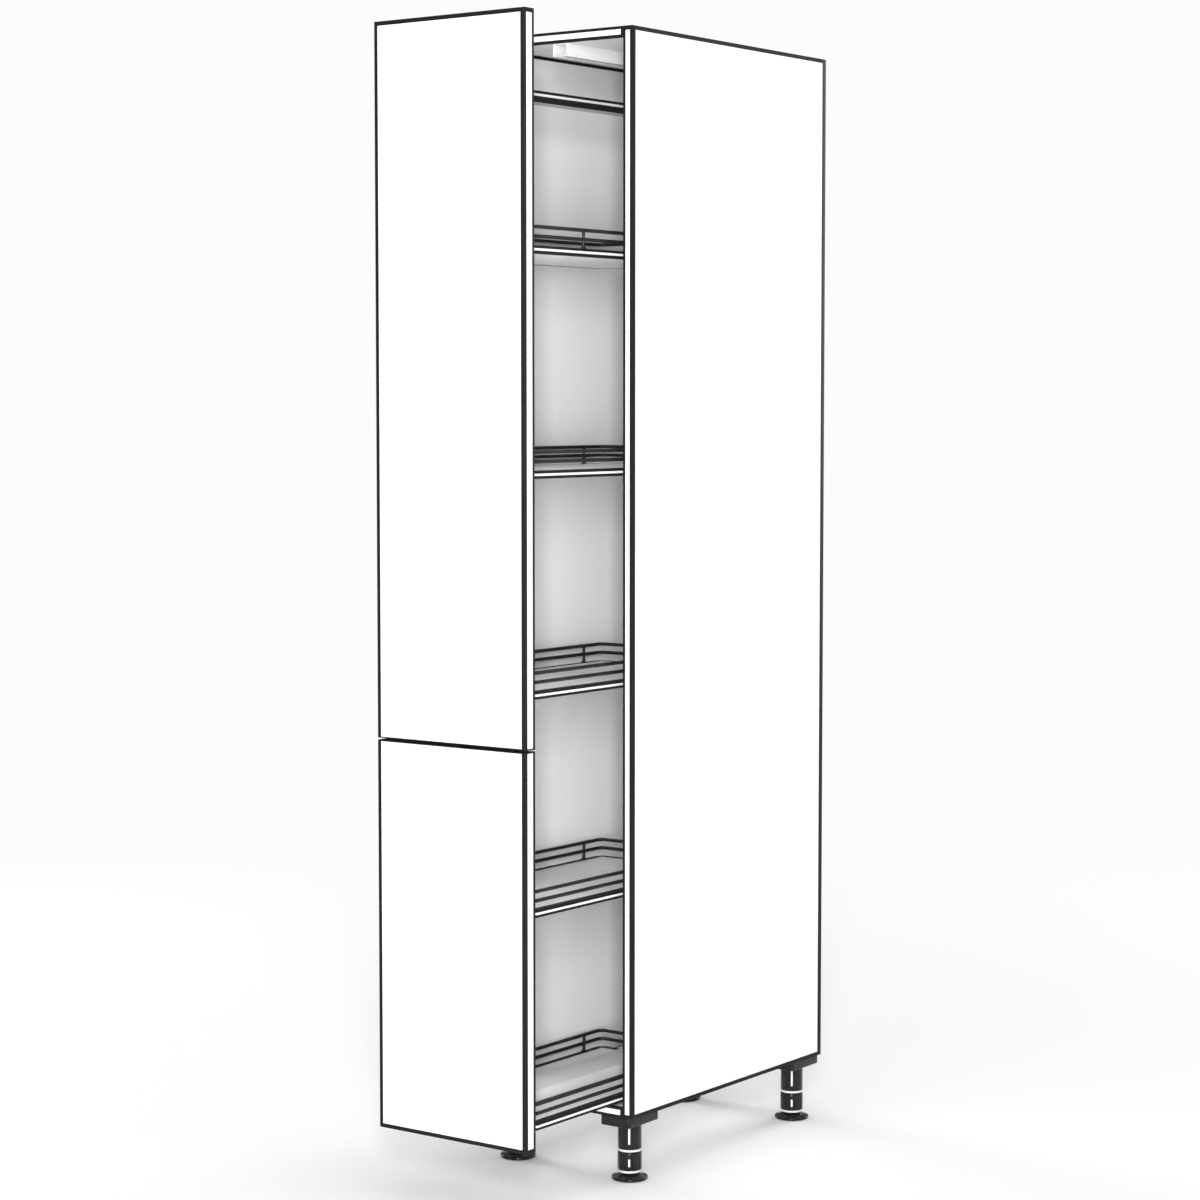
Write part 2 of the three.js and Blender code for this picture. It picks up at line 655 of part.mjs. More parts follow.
// The board's plan between two X places; only edges on the tray's rim have rounded corners.
function boardPlan(left, right) {
  const rim = trayWidth / 2;
  const leftRadius = left === -rim ? TRAY_CORNER : 0;
  const rightRadius = right === rim ? TRAY_CORNER : 0;
  const plan = new THREE.Shape();
  plan.moveTo(left + leftRadius, trayFront);
  plan.lineTo(right - rightRadius, trayFront);
  if (rightRadius) {
    plan.absarc(right - rightRadius, trayFront + rightRadius, rightRadius, -Math.PI / 2, 0);
    plan.absarc(right - rightRadius, trayRear - rightRadius, rightRadius, 0, Math.PI / 2);
  } else {
    plan.lineTo(right, trayRear);
  }
  plan.lineTo(left + leftRadius, trayRear);
  if (leftRadius) {
    plan.absarc(left + leftRadius, trayRear - leftRadius, leftRadius, Math.PI / 2, Math.PI);
    plan.absarc(left + leftRadius, trayFront + leftRadius, leftRadius, Math.PI, 1.5 * Math.PI);
  }
  return plan;
}

// A closed wire round the tray, an eight-sided section swept along a rounded rectangle.
function wireLoop(level) {
  const halfX = trayWidth / 2 - WIRE_RADIUS;
  const halfY = trayLength / 2 - WIRE_RADIUS;
  const radius = TRAY_CORNER - WIRE_RADIUS;
  const stations = [];
  const corners = [[1, -1, -0.5], [1, 1, 0], [-1, 1, 0.5], [-1, -1, 1]];
  for (const [signX, signY, start] of corners) {
    for (let i = 0; i <= CORNER_STEPS; i += 1) {
      const angle = (start + (0.5 * i) / CORNER_STEPS) * Math.PI;
      const outward = [Math.cos(angle), Math.sin(angle)];
      const x = signX * (halfX - radius) + radius * outward[0];
      const y = trayMiddle + signY * (halfY - radius) + radius * outward[1];
      stations.push({ x, y, outward });
    }
  }
  return ringSweep(stations, level, WIRE_RADIUS);
}

// Joins the sections at the stations of a closed level path into one closed surface.
function ringSweep(stations, level, radius) {
  const positions = [];
  for (const { x, y, outward } of stations) {
    for (let side = 0; side < WIRE_SIDES; side += 1) {
      const turn = ((side + 0.5) / WIRE_SIDES) * 2 * Math.PI;
      const reach = radius * Math.cos(turn);
      positions.push(x + reach * outward[0], y + reach * outward[1], level + radius * Math.sin(turn));
    }
  }
  const index = [];
  stations.forEach((_, i) => {
    const here = i * WIRE_SIDES;
    const next = ((i + 1) % stations.length) * WIRE_SIDES;
    for (let side = 0; side < WIRE_SIDES; side += 1) {
      const over = (side + 1) % WIRE_SIDES;
      index.push(here + side, next + side, next + over);
      index.push(here + side, next + over, here + over);
    }
  });
  const geometry = new THREE.BufferGeometry();
  geometry.setAttribute('position', new THREE.Float32BufferAttribute(positions, 3));
  geometry.setIndex(index);
  return geometry;
}

// Two wire loops welded to short posts that stand on the board. Each setback gives a pair of side
// posts. What is given as in the way interrupts the loops.
function gallery(boardTop, setbacks, inTheWay = []) {
  const sideX = trayWidth / 2 - WIRE_RADIUS;
  const frontY = trayFront + WIRE_RADIUS;
  const rearY = trayRear - WIRE_RADIUS;
  const places = [];
  for (const side of [-1, 1]) {
    setbacks.forEach((setback) => places.push([side * sideX, trayRear - setback]));
    places.push([(side * END_POST_SPREAD) / 2, frontY]);
    places.push([(side * END_POST_SPREAD) / 2, rearY]);
  }
  const posts = places.map(([x, y]) => {
    return cylinder(POST_RADIUS, boardTop, TOP_RAIL_HEIGHT, POST_SIDES).translate(x, y, 0);
  });
  const loops = [MID_RAIL_HEIGHT, TOP_RAIL_HEIGHT].map((height) => wireLoop(boardTop + height));
  return cut(joined([...loops, ...posts]), inTheWay);
}

// An angle with a stiffening rib, against an upright's face and under the board.
function trayBracket(uprightFace, edge, direction, boardBottom) {
  const sheet = TRAY_BRACKET_SHEET;
  const tip = edge + direction * TRAY_BRACKET_REACH;
  const inner = uprightFace + direction * sheet;
  const foot = boardBottom - TRAY_BRACKET_DROP;
  const angle = outline([
    [uprightFace, foot],
    [inner, foot],
    [inner, boardBottom - sheet],
    [tip, boardBottom - sheet],
    [tip, boardBottom],
    [uprightFace, boardBottom],
  ]);
  const rib = outline([
    [uprightFace, foot],
    [inner, foot],
    [tip, boardBottom - sheet],
    [tip, boardBottom],
    [uprightFace, boardBottom],
  ]);
  return joined([acrossX(angle, TUBE_WIDTH), acrossX(rib, TRAY_BRACKET_RIB)]);
}

// A hat section over the runner, with a flange under each half of the lowest tray.
function saddleSection() {
  const outer = saddleWidth / 2;
  const inner = outer - SADDLE_SHEET;
  const tip = outer + SADDLE_FLANGE;
  const flangeTop = saddleFlangeLevel + SADDLE_SHEET;
  const right = [
    [inner, saddleTop - SADDLE_SHEET],
    [inner, saddleFlangeLevel],
    [tip, saddleFlangeLevel],
    [tip, flangeTop],
    [outer, flangeTop],
    [outer, saddleTop],
  ];
  return mirrored(right, []);
}

const sidePosts = [REAR_POST_SETBACK, MIDDLE_POST_SETBACK];
const rim = trayWidth / 2;
const halfBoardEdge = saddleWidth / 2 + FIT_GAP;
addPiece('tray_1_board_left', upright(boardPlan(-rim, -halfBoardEdge), lowTrayLevel, TRAY_BOARD), 'board');
addPiece('tray_1_board_right', upright(boardPlan(halfBoardEdge, rim), lowTrayLevel, TRAY_BOARD), 'board');
addPiece('tray_1_saddle', alongY(saddleSection(), trayFront, trayLength), 'frame');
const lowBoardTop = lowTrayLevel + TRAY_BOARD;
const roomForSaddle = block(
  [-halfBoardEdge, trayFront - CUT_PAST, lowBoardTop],
  [halfBoardEdge, trayRear + CUT_PAST, saddleTop + FIT_GAP],
);
addPiece('tray_1_gallery', gallery(lowBoardTop, sidePosts, [roomForSaddle]), 'wire');

trayLevels.forEach((level, i) => {
  const name = `tray_${i + 2}`;
  const frontFace = frameFront + TUBE_DEPTH;
  const rearFace = frameRear - TUBE_DEPTH;
  addPiece(`${name}_board`, upright(boardPlan(-rim, rim), level, TRAY_BOARD), 'board');
  const setbacks = i === trayLevels.length - 1 ? [...sidePosts, TOP_TRAY_POST_SETBACK] : sidePosts;
  addPiece(`${name}_gallery`, gallery(level + TRAY_BOARD, setbacks), 'wire');
  addPiece(`${name}_bracket_front`, trayBracket(frontFace, trayFront, 1, level), 'zinc');
  addPiece(`${name}_bracket_rear`, trayBracket(rearFace, trayRear, -1, level), 'zinc');
});

export default unit;
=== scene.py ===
"""A tall pull-out larder unit, half drawn out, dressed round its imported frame.

Metres, +Z up, +X to the right seen from the front, -Y towards the user, origin on the floor.
"""

import math

import bmesh
import bpy
from mathutils import Matrix, Vector


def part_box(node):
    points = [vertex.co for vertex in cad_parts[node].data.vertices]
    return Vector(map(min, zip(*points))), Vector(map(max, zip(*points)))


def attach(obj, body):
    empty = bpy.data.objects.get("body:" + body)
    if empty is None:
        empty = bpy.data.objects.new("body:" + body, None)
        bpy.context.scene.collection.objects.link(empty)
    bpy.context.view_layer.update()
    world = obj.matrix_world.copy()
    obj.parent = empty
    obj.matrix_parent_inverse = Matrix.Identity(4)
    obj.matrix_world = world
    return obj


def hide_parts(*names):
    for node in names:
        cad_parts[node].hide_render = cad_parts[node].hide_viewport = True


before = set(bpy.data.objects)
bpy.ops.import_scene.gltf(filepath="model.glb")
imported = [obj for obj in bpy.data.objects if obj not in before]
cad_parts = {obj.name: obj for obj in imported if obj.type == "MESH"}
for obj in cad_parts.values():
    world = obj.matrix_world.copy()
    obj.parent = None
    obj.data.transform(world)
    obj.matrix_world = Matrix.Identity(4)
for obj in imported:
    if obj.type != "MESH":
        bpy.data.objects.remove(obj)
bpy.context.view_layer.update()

MM = 0.001

RIGHT = (1, 0, 0)
REAR = (0, 1, 0)
UP = (0, 0, 1)
DOWN = (0, 0, -1)

# ---------------------------------------------------------------- sizes that the frame's boxes don't give

# Lines and roundings along the edges of the boards
EDGE_LINE = 4.8 * MM
LEVEL_LINE = 7 * MM             # along the upper and lower edges of sides and fronts
SPLIT_LINE = 2.2 * MM           # along the split between the fronts
FRONT_SIDE_LINE = 7.5 * MM
FRONT_BACK_LINE = 6.5 * MM
PANEL_FRONT_LINE = 9 * MM
PANEL_BACK_LINE = 12 * MM
EDGE_ROUND = 0.5 * MM
FRONT_EDGE_ROUND = 0.3 * MM

# Trays
TRAY_CORNER = 15 * MM
TRAY_EDGE_ROUND = 1.0 * MM
TRAY_LINE = 3.5 * MM            # on the walls
TRAY_RIM_LINE = 12 * MM         # on the level faces
WIRE_RADIUS = 3 * MM
POST_RADIUS = 2.5 * MM
TOP_RAIL_HEIGHT = 28.5 * MM
MID_RAIL_HEIGHT = 14 * MM
SIDE_POST_SETBACKS = (52 * MM, 212 * MM)
TOP_TRAY_POST_SETBACK = 368 * MM
END_POST_SPREAD = 100 * MM
POST_FOOT_RADIUS = 5.5 * MM
POST_FOOT_HEIGHT = 1.4 * MM
WELD_RADIUS = 3.588 * MM
MID_WELD_SQUASH = 0.98
TOP_WELD_SQUASH = 0.9
TOP_WELD_DROP = 1.2 * MM

# Feet
PLATE_THICKNESS = 16 * MM
PLATE_CORNER = 5 * MM
PLATE_ROUND = 1.2 * MM
PLATE_SCREW_X = 22 * MM
PLATE_SCREW_Y = 30 * MM
PLATE_OVERLAP = 1 * MM          # socket into plate
SOCKET_RADIUS = 19.5 * MM
SOCKET_ROUND = 1.2 * MM
SOCKET_FLARE = 3.5 * MM
BORE_RADIUS = 8.6 * MM
BORE_CHAMFER = 0.8 * MM
BORE_ROOF = 6 * MM
COLLAR_LOWER_ROUND = 1 * MM
COLLAR_UPPER_ROUND = 3 * MM
FLUTE_RADIUS = 1.8 * MM
FLUTES = 8
# Pale strokes down the feet's round walls are painted highlights on the glossy black plastic.
HIGHLIGHT_SIDE = math.radians(-57)   # where on the round the painted highlights stand
HIGHLIGHT_WIDTH = 3.2 * MM
HIGHLIGHT_PROUD = 0.15 * MM
HIGHLIGHT_SUNK = 0.6 * MM
SOCKET_HIGHLIGHT_LIFT = 9 * MM
COLLAR_HIGHLIGHT_LIFT = 7 * MM
COLLAR_HIGHLIGHT_LENGTH = 13 * MM
# Pale rings in the gaps above and below each collar are painted highlights between the black parts.
HIGHLIGHT_RING_RADIUS = 19 * MM
HIGHLIGHT_RING_GAP = 0.35 * MM
STEM_CREST = 7.95 * MM
STEM_ROOT = 7.25 * MM
STEM_OVERLAP = 1 * MM           # stem into disc
THREAD_PITCH = 2.5 * MM
DISC_HEIGHT = 12 * MM
DISC_FOOT_ROUND = 1.2 * MM
DISC_RIM = 4.4 * MM             # height of the rim
DISC_RIM_ROUND = 1.6 * MM
DISC_CONE_TOP = 11 * MM
DISC_CONE_CURVE = 1.6           # power of the share by which the cone rises
DISC_NECK = 14 * MM
DISC_NECK_DROP = 0.4 * MM
DISC_NECK_INSET = 0.6 * MM

# Frame, runner and guide
SHEET_ROUND = 0.3 * MM
PRESSED_ROUND = 0.4 * MM
BROAD_ROUND = 0.5 * MM
TUBE_WALL = 1.5 * MM
TUBE_CORNER = 1.4 * MM
SLOT_WIDTH = 5 * MM
SLOT_HEIGHT = 14 * MM
SLOT_PITCH = 32 * MM
SLOT_INSET = 45 * MM
BAR_LINE = 4.5 * MM
COVER_SHEET = 0.5 * MM
COVER_HEIGHT = 9.5 * MM
COVER_GAP = 0.1 * MM
COVER_END_GAP = 1 * MM
CAGE_SHEET = 0.7 * MM
CAGE_RIM_LIFT = 0.1 * MM        # above the balls
BALLS_PER_SIDE = 6
BALL_RADIUS = 2.38 * MM
BALL_LEVEL = 138.5 * MM
WHEEL_PLAY = 0.3 * MM
WHEEL_HUB = 1.3 * MM            # wall of the hub and of the rim, at the face and at the web
WHEEL_HUB_FOOT = 1.5 * MM
WHEEL_RIM = 1.3 * MM
WHEEL_RIM_FOOT = 1.6 * MM
WHEEL_WEB_SINK = 1 * MM
WHEEL_CROWN = 0.5 * MM          # what the tread falls by at the face and at its shoulder
WHEEL_SHOULDER = 0.1 * MM
AXLE_RADIUS = 2 * MM
AXLE_CHAMFER = 0.5 * MM

# Small fittings
BUMPER_WALL = 0.35              # share of the height below the dome
CAP_RADIUS = 7.5 * MM
CAP_HEIGHT = 0.5 * MM
CAP_SIDE_INSET = 34 * MM
CAP_FRONT_INSET = 60 * MM
CAP_REAR_INSET = 80 * MM

# Screws: radius and height of the heads, and places from the ends and edges of what they hold
SCREW_HEAD = (3.6 * MM, 1.9 * MM)
TRAY_SCREW_HEAD = (2.8 * MM, 1.5 * MM)
SADDLE_SCREW_HEAD = (2.8 * MM, 1.2 * MM)
CHANNEL_SCREW_HEAD = (2.6 * MM, 1 * MM)
FRONT_BRACKET_SHEET = 3 * MM
FRONT_SCREW_INSET = 9 * MM
TRAY_BRACKET_SHEET = 2 * MM
TRAY_SCREW_X = 7.5 * MM
TRAY_SCREW_INSETS = (10 * MM, 30 * MM)
CHANNEL_SHEET = 1.5 * MM
CHANNEL_SCREWS = 5
CHANNEL_SCREW_INSET = 30 * MM
SADDLE_SCREWS = 4               # on each side
SADDLE_SCREW_INSET = 40 * MM
SADDLE_SCREW_EDGE = 12 * MM

# Roundness
WIRE_SIDES = 16
ROUND_SIDES = 64
SMALL_SIDES = 32
CORNER_STEPS = 14
CURVE_STEPS = 6                 # of the socket's flare, the disc's cone and the bumper's dome
FLUTE_STEPS = 4                 # of half a flute
LAND_STEPS = 7
WELD = 1e-6                     # closer points are one
FLAT = math.radians(0.6)
SHARP = math.radians(32)
FACING = 0.99                   # least share of a normal that looks along an axis


# ---------------------------------------------------------------- finishes

class Finish:
    """A Principled material whose colour, roughness and bump are worked out by nodes."""

    def __init__(self, name, metallic=0.0, coat=0.0, specular=0.5):
        self.material = bpy.data.materials.new(name)
        self.material.use_nodes = True
        self.tree = self.material.node_tree
        self.surface = self.tree.nodes["Principled BSDF"]
        self.surface.inputs["Metallic"].default_value = metallic
        self.surface.inputs["Coat Weight"].default_value = coat
        self.surface.inputs["Coat Roughness"].default_value = 0.1
        self.surface.inputs["Specular IOR Level"].default_value = specular
        self.place = self.tree.nodes.new("ShaderNodeTexCoord").outputs["Object"]

    def link(self, value, socket):
        if isinstance(value, bpy.types.NodeSocket):
            self.tree.links.new(value, socket)
        else:
            socket.default_value = value

    def stretched(self, scale):
        node = self.tree.nodes.new("ShaderNodeVectorMath")
        node.operation = "MULTIPLY"
        self.link(self.place, node.inputs[0])
        node.inputs[1].default_value = scale
        return node.outputs[0]

    def noise(self, scale, detail=3.0, stretch=(1.0, 1.0, 1.0)):
        node = self.tree.nodes.new("ShaderNodeTexNoise")
        self.link(self.stretched(stretch), node.inputs["Vector"])
        node.inputs["Scale"].default_value = scale
        node.inputs["Detail"].default_value = detail
        return node.outputs["Fac"]

    def cells(self, scale):
        node = self.tree.nodes.new("ShaderNodeTexVoronoi")
        self.link(self.place, node.inputs["Vector"])
        node.inputs["Scale"].default_value = scale
        return node.outputs["Color"]

    def span(self, value, low, high, start=0.3, end=0.7):
        """The value between start and end, brought to between low and high."""
        node = self.tree.nodes.new("ShaderNodeMapRange")
        self.link(value, node.inputs["Value"])
        node.inputs["From Min"].default_value = start
        node.inputs["From Max"].default_value = end
        node.inputs["To Min"].default_value = low
        node.inputs["To Max"].default_value = high
        return node.outputs["Result"]

    def mixed(self, share, first, second):
        node = self.tree.nodes.new("ShaderNodeMix")
        node.data_type = "RGBA"
        self.link(share, node.inputs["Factor"])
        self.link(rgba(first), node.inputs[6])
        self.link(rgba(second), node.inputs[7])
        return node.outputs[2]

    def colour(self, value):
        self.link(value, self.surface.inputs["Base Color"])

    def roughness(self, value):
        self.link(value, self.surface.inputs["Roughness"])

    def bump(self, height, strength, depth):
        node = self.tree.nodes.new("ShaderNodeBump")
        self.link(height, node.inputs["Height"])
        node.inputs["Strength"].default_value = strength
        node.inputs["Distance"].default_value = depth
        self.link(node.outputs["Normal"], self.surface.inputs["Normal"])


def rgba(value):
    """A colour given as three numbers gets its fourth; a socket stays as it is."""
    if isinstance(value, bpy.types.NodeSocket):
        return value
    return (*value, 1.0)


def coated(name, light, dark, rough, grain, strength=0.12, metallic=0.0, coat=0.0, specular=0.5):
    """A plain coat: a faint drift of tone, a fine grain in its gloss and in its relief."""
    finish = Finish(name, metallic, coat, specular=specular)
    finish.colour(finish.mixed(finish.span(finish.noise(7.0), 0.0, 1.0), light, dark))
    finish.roughness(finish.span(finish.noise(grain * 0.4), *rough))
    finish.bump(finish.noise(grain), strength, 0.15 * MM)
    return finish.material


def chipboard():
    """The raw core of a board: pale wood chips, pressed flat."""
    finish = Finish("chipboard_core")
    chips = finish.span(finish.cells(420.0), 0.0, 1.0, 0.1, 0.9)
    dust = finish.span(finish.noise(900.0), 0.0, 1.0)
    pale = finish.mixed(chips, (0.56, 0.43, 0.29), (0.34, 0.23, 0.13))
    finish.colour(finish.mixed(dust, pale, (0.45, 0.34, 0.22)))
    finish.roughness(finish.span(finish.noise(300.0), 0.75, 0.9))
    finish.bump(finish.noise(700.0), 0.5, 0.3 * MM)
    return finish.material


def zinc(name, along):
    """Zinc-plated sheet, with rolling marks along one direction and a faint bloom."""
    finish = Finish(name, metallic=1.0)
    streaks = finish.noise(260.0, 4.0, along)
    bloom = finish.noise(28.0)
    finish.colour(finish.mixed(finish.span(bloom, 0.0, 1.0), (0.71, 0.72, 0.74), (0.60, 0.62, 0.65)))
    finish.roughness(finish.span(streaks, 0.24, 0.42))
    finish.bump(streaks, 0.08, 0.1 * MM)
    return finish.material


def rubbed_plastic(name, light, dark, rough, relief=0.14, specular=0.5):
    """Moulded plastic: a spark-eroded grain and slightly polished patches."""
    finish = Finish(name, specular=specular)
    finish.colour(finish.mixed(finish.span(finish.noise(40.0), 0.0, 1.0), light, dark))
    finish.roughness(finish.span(finish.noise(130.0), *rough))
    finish.bump(finish.noise(1500.0), relief, 0.12 * MM)
    return finish.material


MELAMINE = coated("white_melamine", (0.88, 0.88, 0.87), (0.86, 0.86, 0.85), (0.36, 0.46), 900.0)
TRAY_WHITE = coated("tray_melamine", (0.87, 0.87, 0.86), (0.85, 0.85, 0.84), (0.34, 0.44), 1100.0)
LACQUER = coated(
    "white_lacquer", (0.83, 0.83, 0.82), (0.82, 0.82, 0.81), (0.3, 0.36), 500.0, strength=0.015, coat=0.2
)
HARDBOARD = coated(
    "white_hardboard", (0.74, 0.74, 0.725), (0.69, 0.69, 0.675), (0.52, 0.64), 650.0, strength=0.3
)
# Dark of the edge lines; the same dark is painted shade in the gap between the fronts and in the corner
# under the top panel.
EDGE_AND_SHADE_DARK = coated(
    "edge_line_and_painted_shade", (0.009, 0.009, 0.010), (0.014, 0.014, 0.015), (0.5, 0.62), 1200.0, specular=0.1
)
CORE = chipboard()
BLACK_WIRE = coated(
    "black_powder_coat", (0.008, 0.008, 0.009), (0.013, 0.013, 0.014), (0.34, 0.46), 1900.0, specular=0.3
)
GREY_STEEL = coated(
    "grey_powder_coat", (0.72, 0.73, 0.74), (0.69, 0.70, 0.71), (0.36, 0.48), 1900.0, strength=0.16
)
ZINC_LONG = zinc("zinc_rolled_lengthways", (1.0, 0.04, 1.0))
ZINC_UP = zinc("zinc_rolled_upright", (1.0, 1.0, 0.05))
SCREW_STEEL = zinc("screw_zinc", (1.0, 1.0, 1.0))
BLACK_SCREW = coated(
    "black_screw", (0.02, 0.02, 0.022), (0.03, 0.03, 0.032), (0.3, 0.45), 900.0, metallic=0.7
)
BLACK_PLASTIC = rubbed_plastic(
    "black_foot_plastic", (0.007, 0.007, 0.008), (0.010, 0.010, 0.011), (0.10, 0.17),
    relief=0.05, specular=0.3,
)
GREY_PLASTIC = rubbed_plastic("guide_plastic", (0.06, 0.06, 0.064), (0.08, 0.08, 0.084), (0.34, 0.46))
# Natural nylon of the guide wheels; the same pale finish is the painted highlight of the strokes and
# rings on the feet.
NYLON_AND_PAINTED_HIGHLIGHT = rubbed_plastic("natural_nylon_and_painted_highlight", (0.72, 0.71, 0.66), (0.66, 0.65, 0.60), (0.34, 0.48))
WHITE_CAP = rubbed_plastic("white_cap", (0.78, 0.78, 0.765), (0.75, 0.75, 0.735), (0.36, 0.46))
SOFT_RUBBER = rubbed_plastic("soft_rubber", (0.5, 0.51, 0.52), (0.44, 0.45, 0.46), (0.55, 0.7))


# ---------------------------------------------------------------- mesh helpers

def solid_of(node):
    """A frame node's own solid in a new mesh, its flat faces made whole."""
    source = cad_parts[node].data
    mesh = bmesh.new()
    points = [mesh.verts.new(vertex.co) for vertex in source.vertices]
    for polygon in source.polygons:
        mesh.faces.new([points[i] for i in polygon.vertices])
    bmesh.ops.remove_doubles(mesh, verts=mesh.verts, dist=WELD)
    bmesh.ops.dissolve_limit(mesh, angle_limit=FLAT, verts=mesh.verts, edges=mesh.edges)
    return mesh


def sharp_edges(mesh):
    return [edge for edge in mesh.edges if edge.is_manifold and edge.calc_face_angle() > SHARP]


def rounded(mesh, radius, material=-1):
    """Rounds the sharp edges, in a material of its own or in that of the faces beside them."""
    bmesh.ops.bevel(
        mesh, geom=sharp_edges(mesh), offset=radius, segments=2, profile=0.5,
        affect="EDGES", clamp_overlap=True, material=material,
    )


def finished(name, mesh, materials, body, replaces=()):
    """Turns the mesh into a piece that rides on a body and stands for its nodes."""
    bmesh.ops.recalc_face_normals(mesh, faces=mesh.faces)
    for face in mesh.faces:
        face.smooth = True
    for edge in sharp_edges(mesh):
        edge.smooth = False
    data = bpy.data.meshes.new(name)
    mesh.to_mesh(data)
    mesh.free()
    for material in materials:
        data.materials.append(material)
    piece = bpy.data.objects.new(name, data)
    bpy.context.scene.collection.objects.link(piece)
    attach(piece, body)
    if replaces:
        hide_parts(*replaces)


def add_loft(mesh, loops, indices=None, closed=False):
    """Joins loops of equally many points into one skin; its ends are capped unless it closes."""
    rows = [[mesh.verts.new(point) for point in loop] for loop in loops]
    bands = list(zip(rows, rows[1:]))
    if closed:
        bands.append((rows[-1], rows[0]))
    for number, (here, there) in enumerate(bands):
        for i in range(len(here)):
            j = (i + 1) % len(here)
            face = mesh.faces.new((here[i], here[j], there[j], there[i]))
            face.material_index = indices[number] if indices else 0
    if not closed:
        mesh.faces.new(list(reversed(rows[0])))
        mesh.faces.new(rows[-1])


def circle(radius, level, sides, place=Matrix()):
    """Points of a circle round the local Z axis."""
    turns = [2 * math.pi * i / sides for i in range(sides)]
    return [place @ Vector((radius * math.cos(t), radius * math.sin(t), level)) for t in turns]


def add_turned(mesh, profile, place=Matrix(), sides=ROUND_SIDES, closed=False, index=0):
    """A turned body from [radius, level] pairs, about the local Z axis."""
    add_loft(mesh, [circle(r, z, sides, place) for r, z in profile], [index] * len(profile), closed)


def plan(low, high, radii, inset):
    """Points round a rectangle in X and Y; each corner has its own radius, which may be none."""
    corners = [
        (low.x, low.y, 1, 1, 180),
        (high.x, low.y, -1, 1, 270),
        (high.x, high.y, -1, -1, 0),
        (low.x, high.y, 1, -1, 90),
    ]
    points = []
    for (x, y, inward_x, inward_y, start), radius in zip(corners, radii):
        if not radius:
            points.append((x + inward_x * inset, y + inward_y * inset))
            continue
        centre_x = x + inward_x * radius
        centre_y = y + inward_y * radius
        for i in range(CORNER_STEPS + 1):
            turn = math.radians(start + 90 * i / CORNER_STEPS)
            reach = radius - inset
            points.append((centre_x + reach * math.cos(turn), centre_y + reach * math.sin(turn)))
    return points


def rounding(radius, steps=3):
    """[inset, drop] pairs of a quarter round, from the flat face to the wall."""
    turns = [math.radians(90 * i / steps) for i in range(steps + 1)]
    return [(radius * (1 - math.sin(t)), radius * (1 - math.cos(t))) for t in turns]


def add_slab(mesh, low, high, radii, edge, line=0.0, rim_line=0.0):
    """An upright slab with rounded rims and, if it has a line, dark lines beside them.

    line is their width on the walls, and rim_line their width on the level faces.
    """
    rows = []
    if line:
        rows.append((edge + rim_line, low.z, 1))
    rows += [(inset, low.z + drop, 1) for inset, drop in rounding(edge)]
    if line:
        rows.append((0.0, low.z + edge + line, 0))
        rows.append((0.0, high.z - edge - line, 1))
    rows += [(inset, high.z - drop, 1) for inset, drop in reversed(rounding(edge))]
    if line:
        rows.append((edge + rim_line, high.z, 0))
    loops = [
        [Vector((x, y, level)) for x, y in plan(low, high, radii, inset)] for inset, level, _ in rows
    ]
    indices = [index if line else 0 for _, _, index in rows[:-1]]
    add_loft(mesh, loops, indices)


def add_wire(mesh, path, level, closed=True):
    """A wire along a level path of [x, y, outward x, outward y]."""
    turns = [2 * math.pi * i / WIRE_SIDES for i in range(WIRE_SIDES)]
    loops = []
    for x, y, out_x, out_y in path:
        loops.append([
            Vector((
                x + WIRE_RADIUS * math.cos(t) * out_x,
                y + WIRE_RADIUS * math.cos(t) * out_y,
                level + WIRE_RADIUS * math.sin(t),
            ))
            for t in turns
        ])
    add_loft(mesh, loops, closed=closed)


def add_ball(mesh, centre, radius, squash=1.0):
    """A ball whose height is squashed to a share."""
    place = Matrix.Translation(centre) @ Matrix.Diagonal((1.0, 1.0, squash, 1.0))
    bmesh.ops.create_uvsphere(mesh, u_segments=16, v_segments=10, radius=radius, matrix=place)


def towards(direction):
    """The turn that brings the local Z axis to a direction."""
    return Vector(UP).rotation_difference(Vector(direction)).to_matrix().to_4x4()


def add_screw(mesh, centre, direction, head=SCREW_HEAD):
    """A pan head with a cross recess, its seat at the centre and its crown along the direction."""
    radius, height = head
    place = Matrix.Translation(centre) @ towards(direction)
    arm = 0.17 * radius
    reach = 0.55 * radius
    depth = 0.55 * height
    loops = []
    for share in (0.08, 0.2, 0.34, 0.46, 0.54, 0.6, 0.76, 0.9, 0.98, 1.0):
        crown = height * (1 - 0.35 * share ** 3) * math.sqrt(1 - 0.9 * share ** 8)
        loop = []
        for i in range(SMALL_SIDES):
            turn = 2 * math.pi * i / SMALL_SIDES
            x = share * radius * math.cos(turn)
            y = share * radius * math.sin(turn)
            recessed = math.hypot(x, y) < reach and min(abs(x), abs(y)) < arm
            loop.append(place @ Vector((x, y, crown - depth if recessed else crown)))
        loops.append(loop)
    loops.append(circle(radius, 0.0, SMALL_SIDES, place))
    add_loft(mesh, loops)


# ---------------------------------------------------------------- camera, lights and floor

CAMERA_PLACE = (2.807, -3.867, 1.277)
CAMERA_YAW = math.radians(36.21)
CAMERA_PITCH = math.radians(4.03)
CAMERA_LENS = 85.85
BACKGROUND = (0.97, 0.975, 0.98)
ROOM_LIGHT = 0.26
FLOOR_RADIUS = 60.0
FLOOR_LEVELS = (-0.02, -0.0005)
FADE_START = 1.0
FADE_END = 3.6

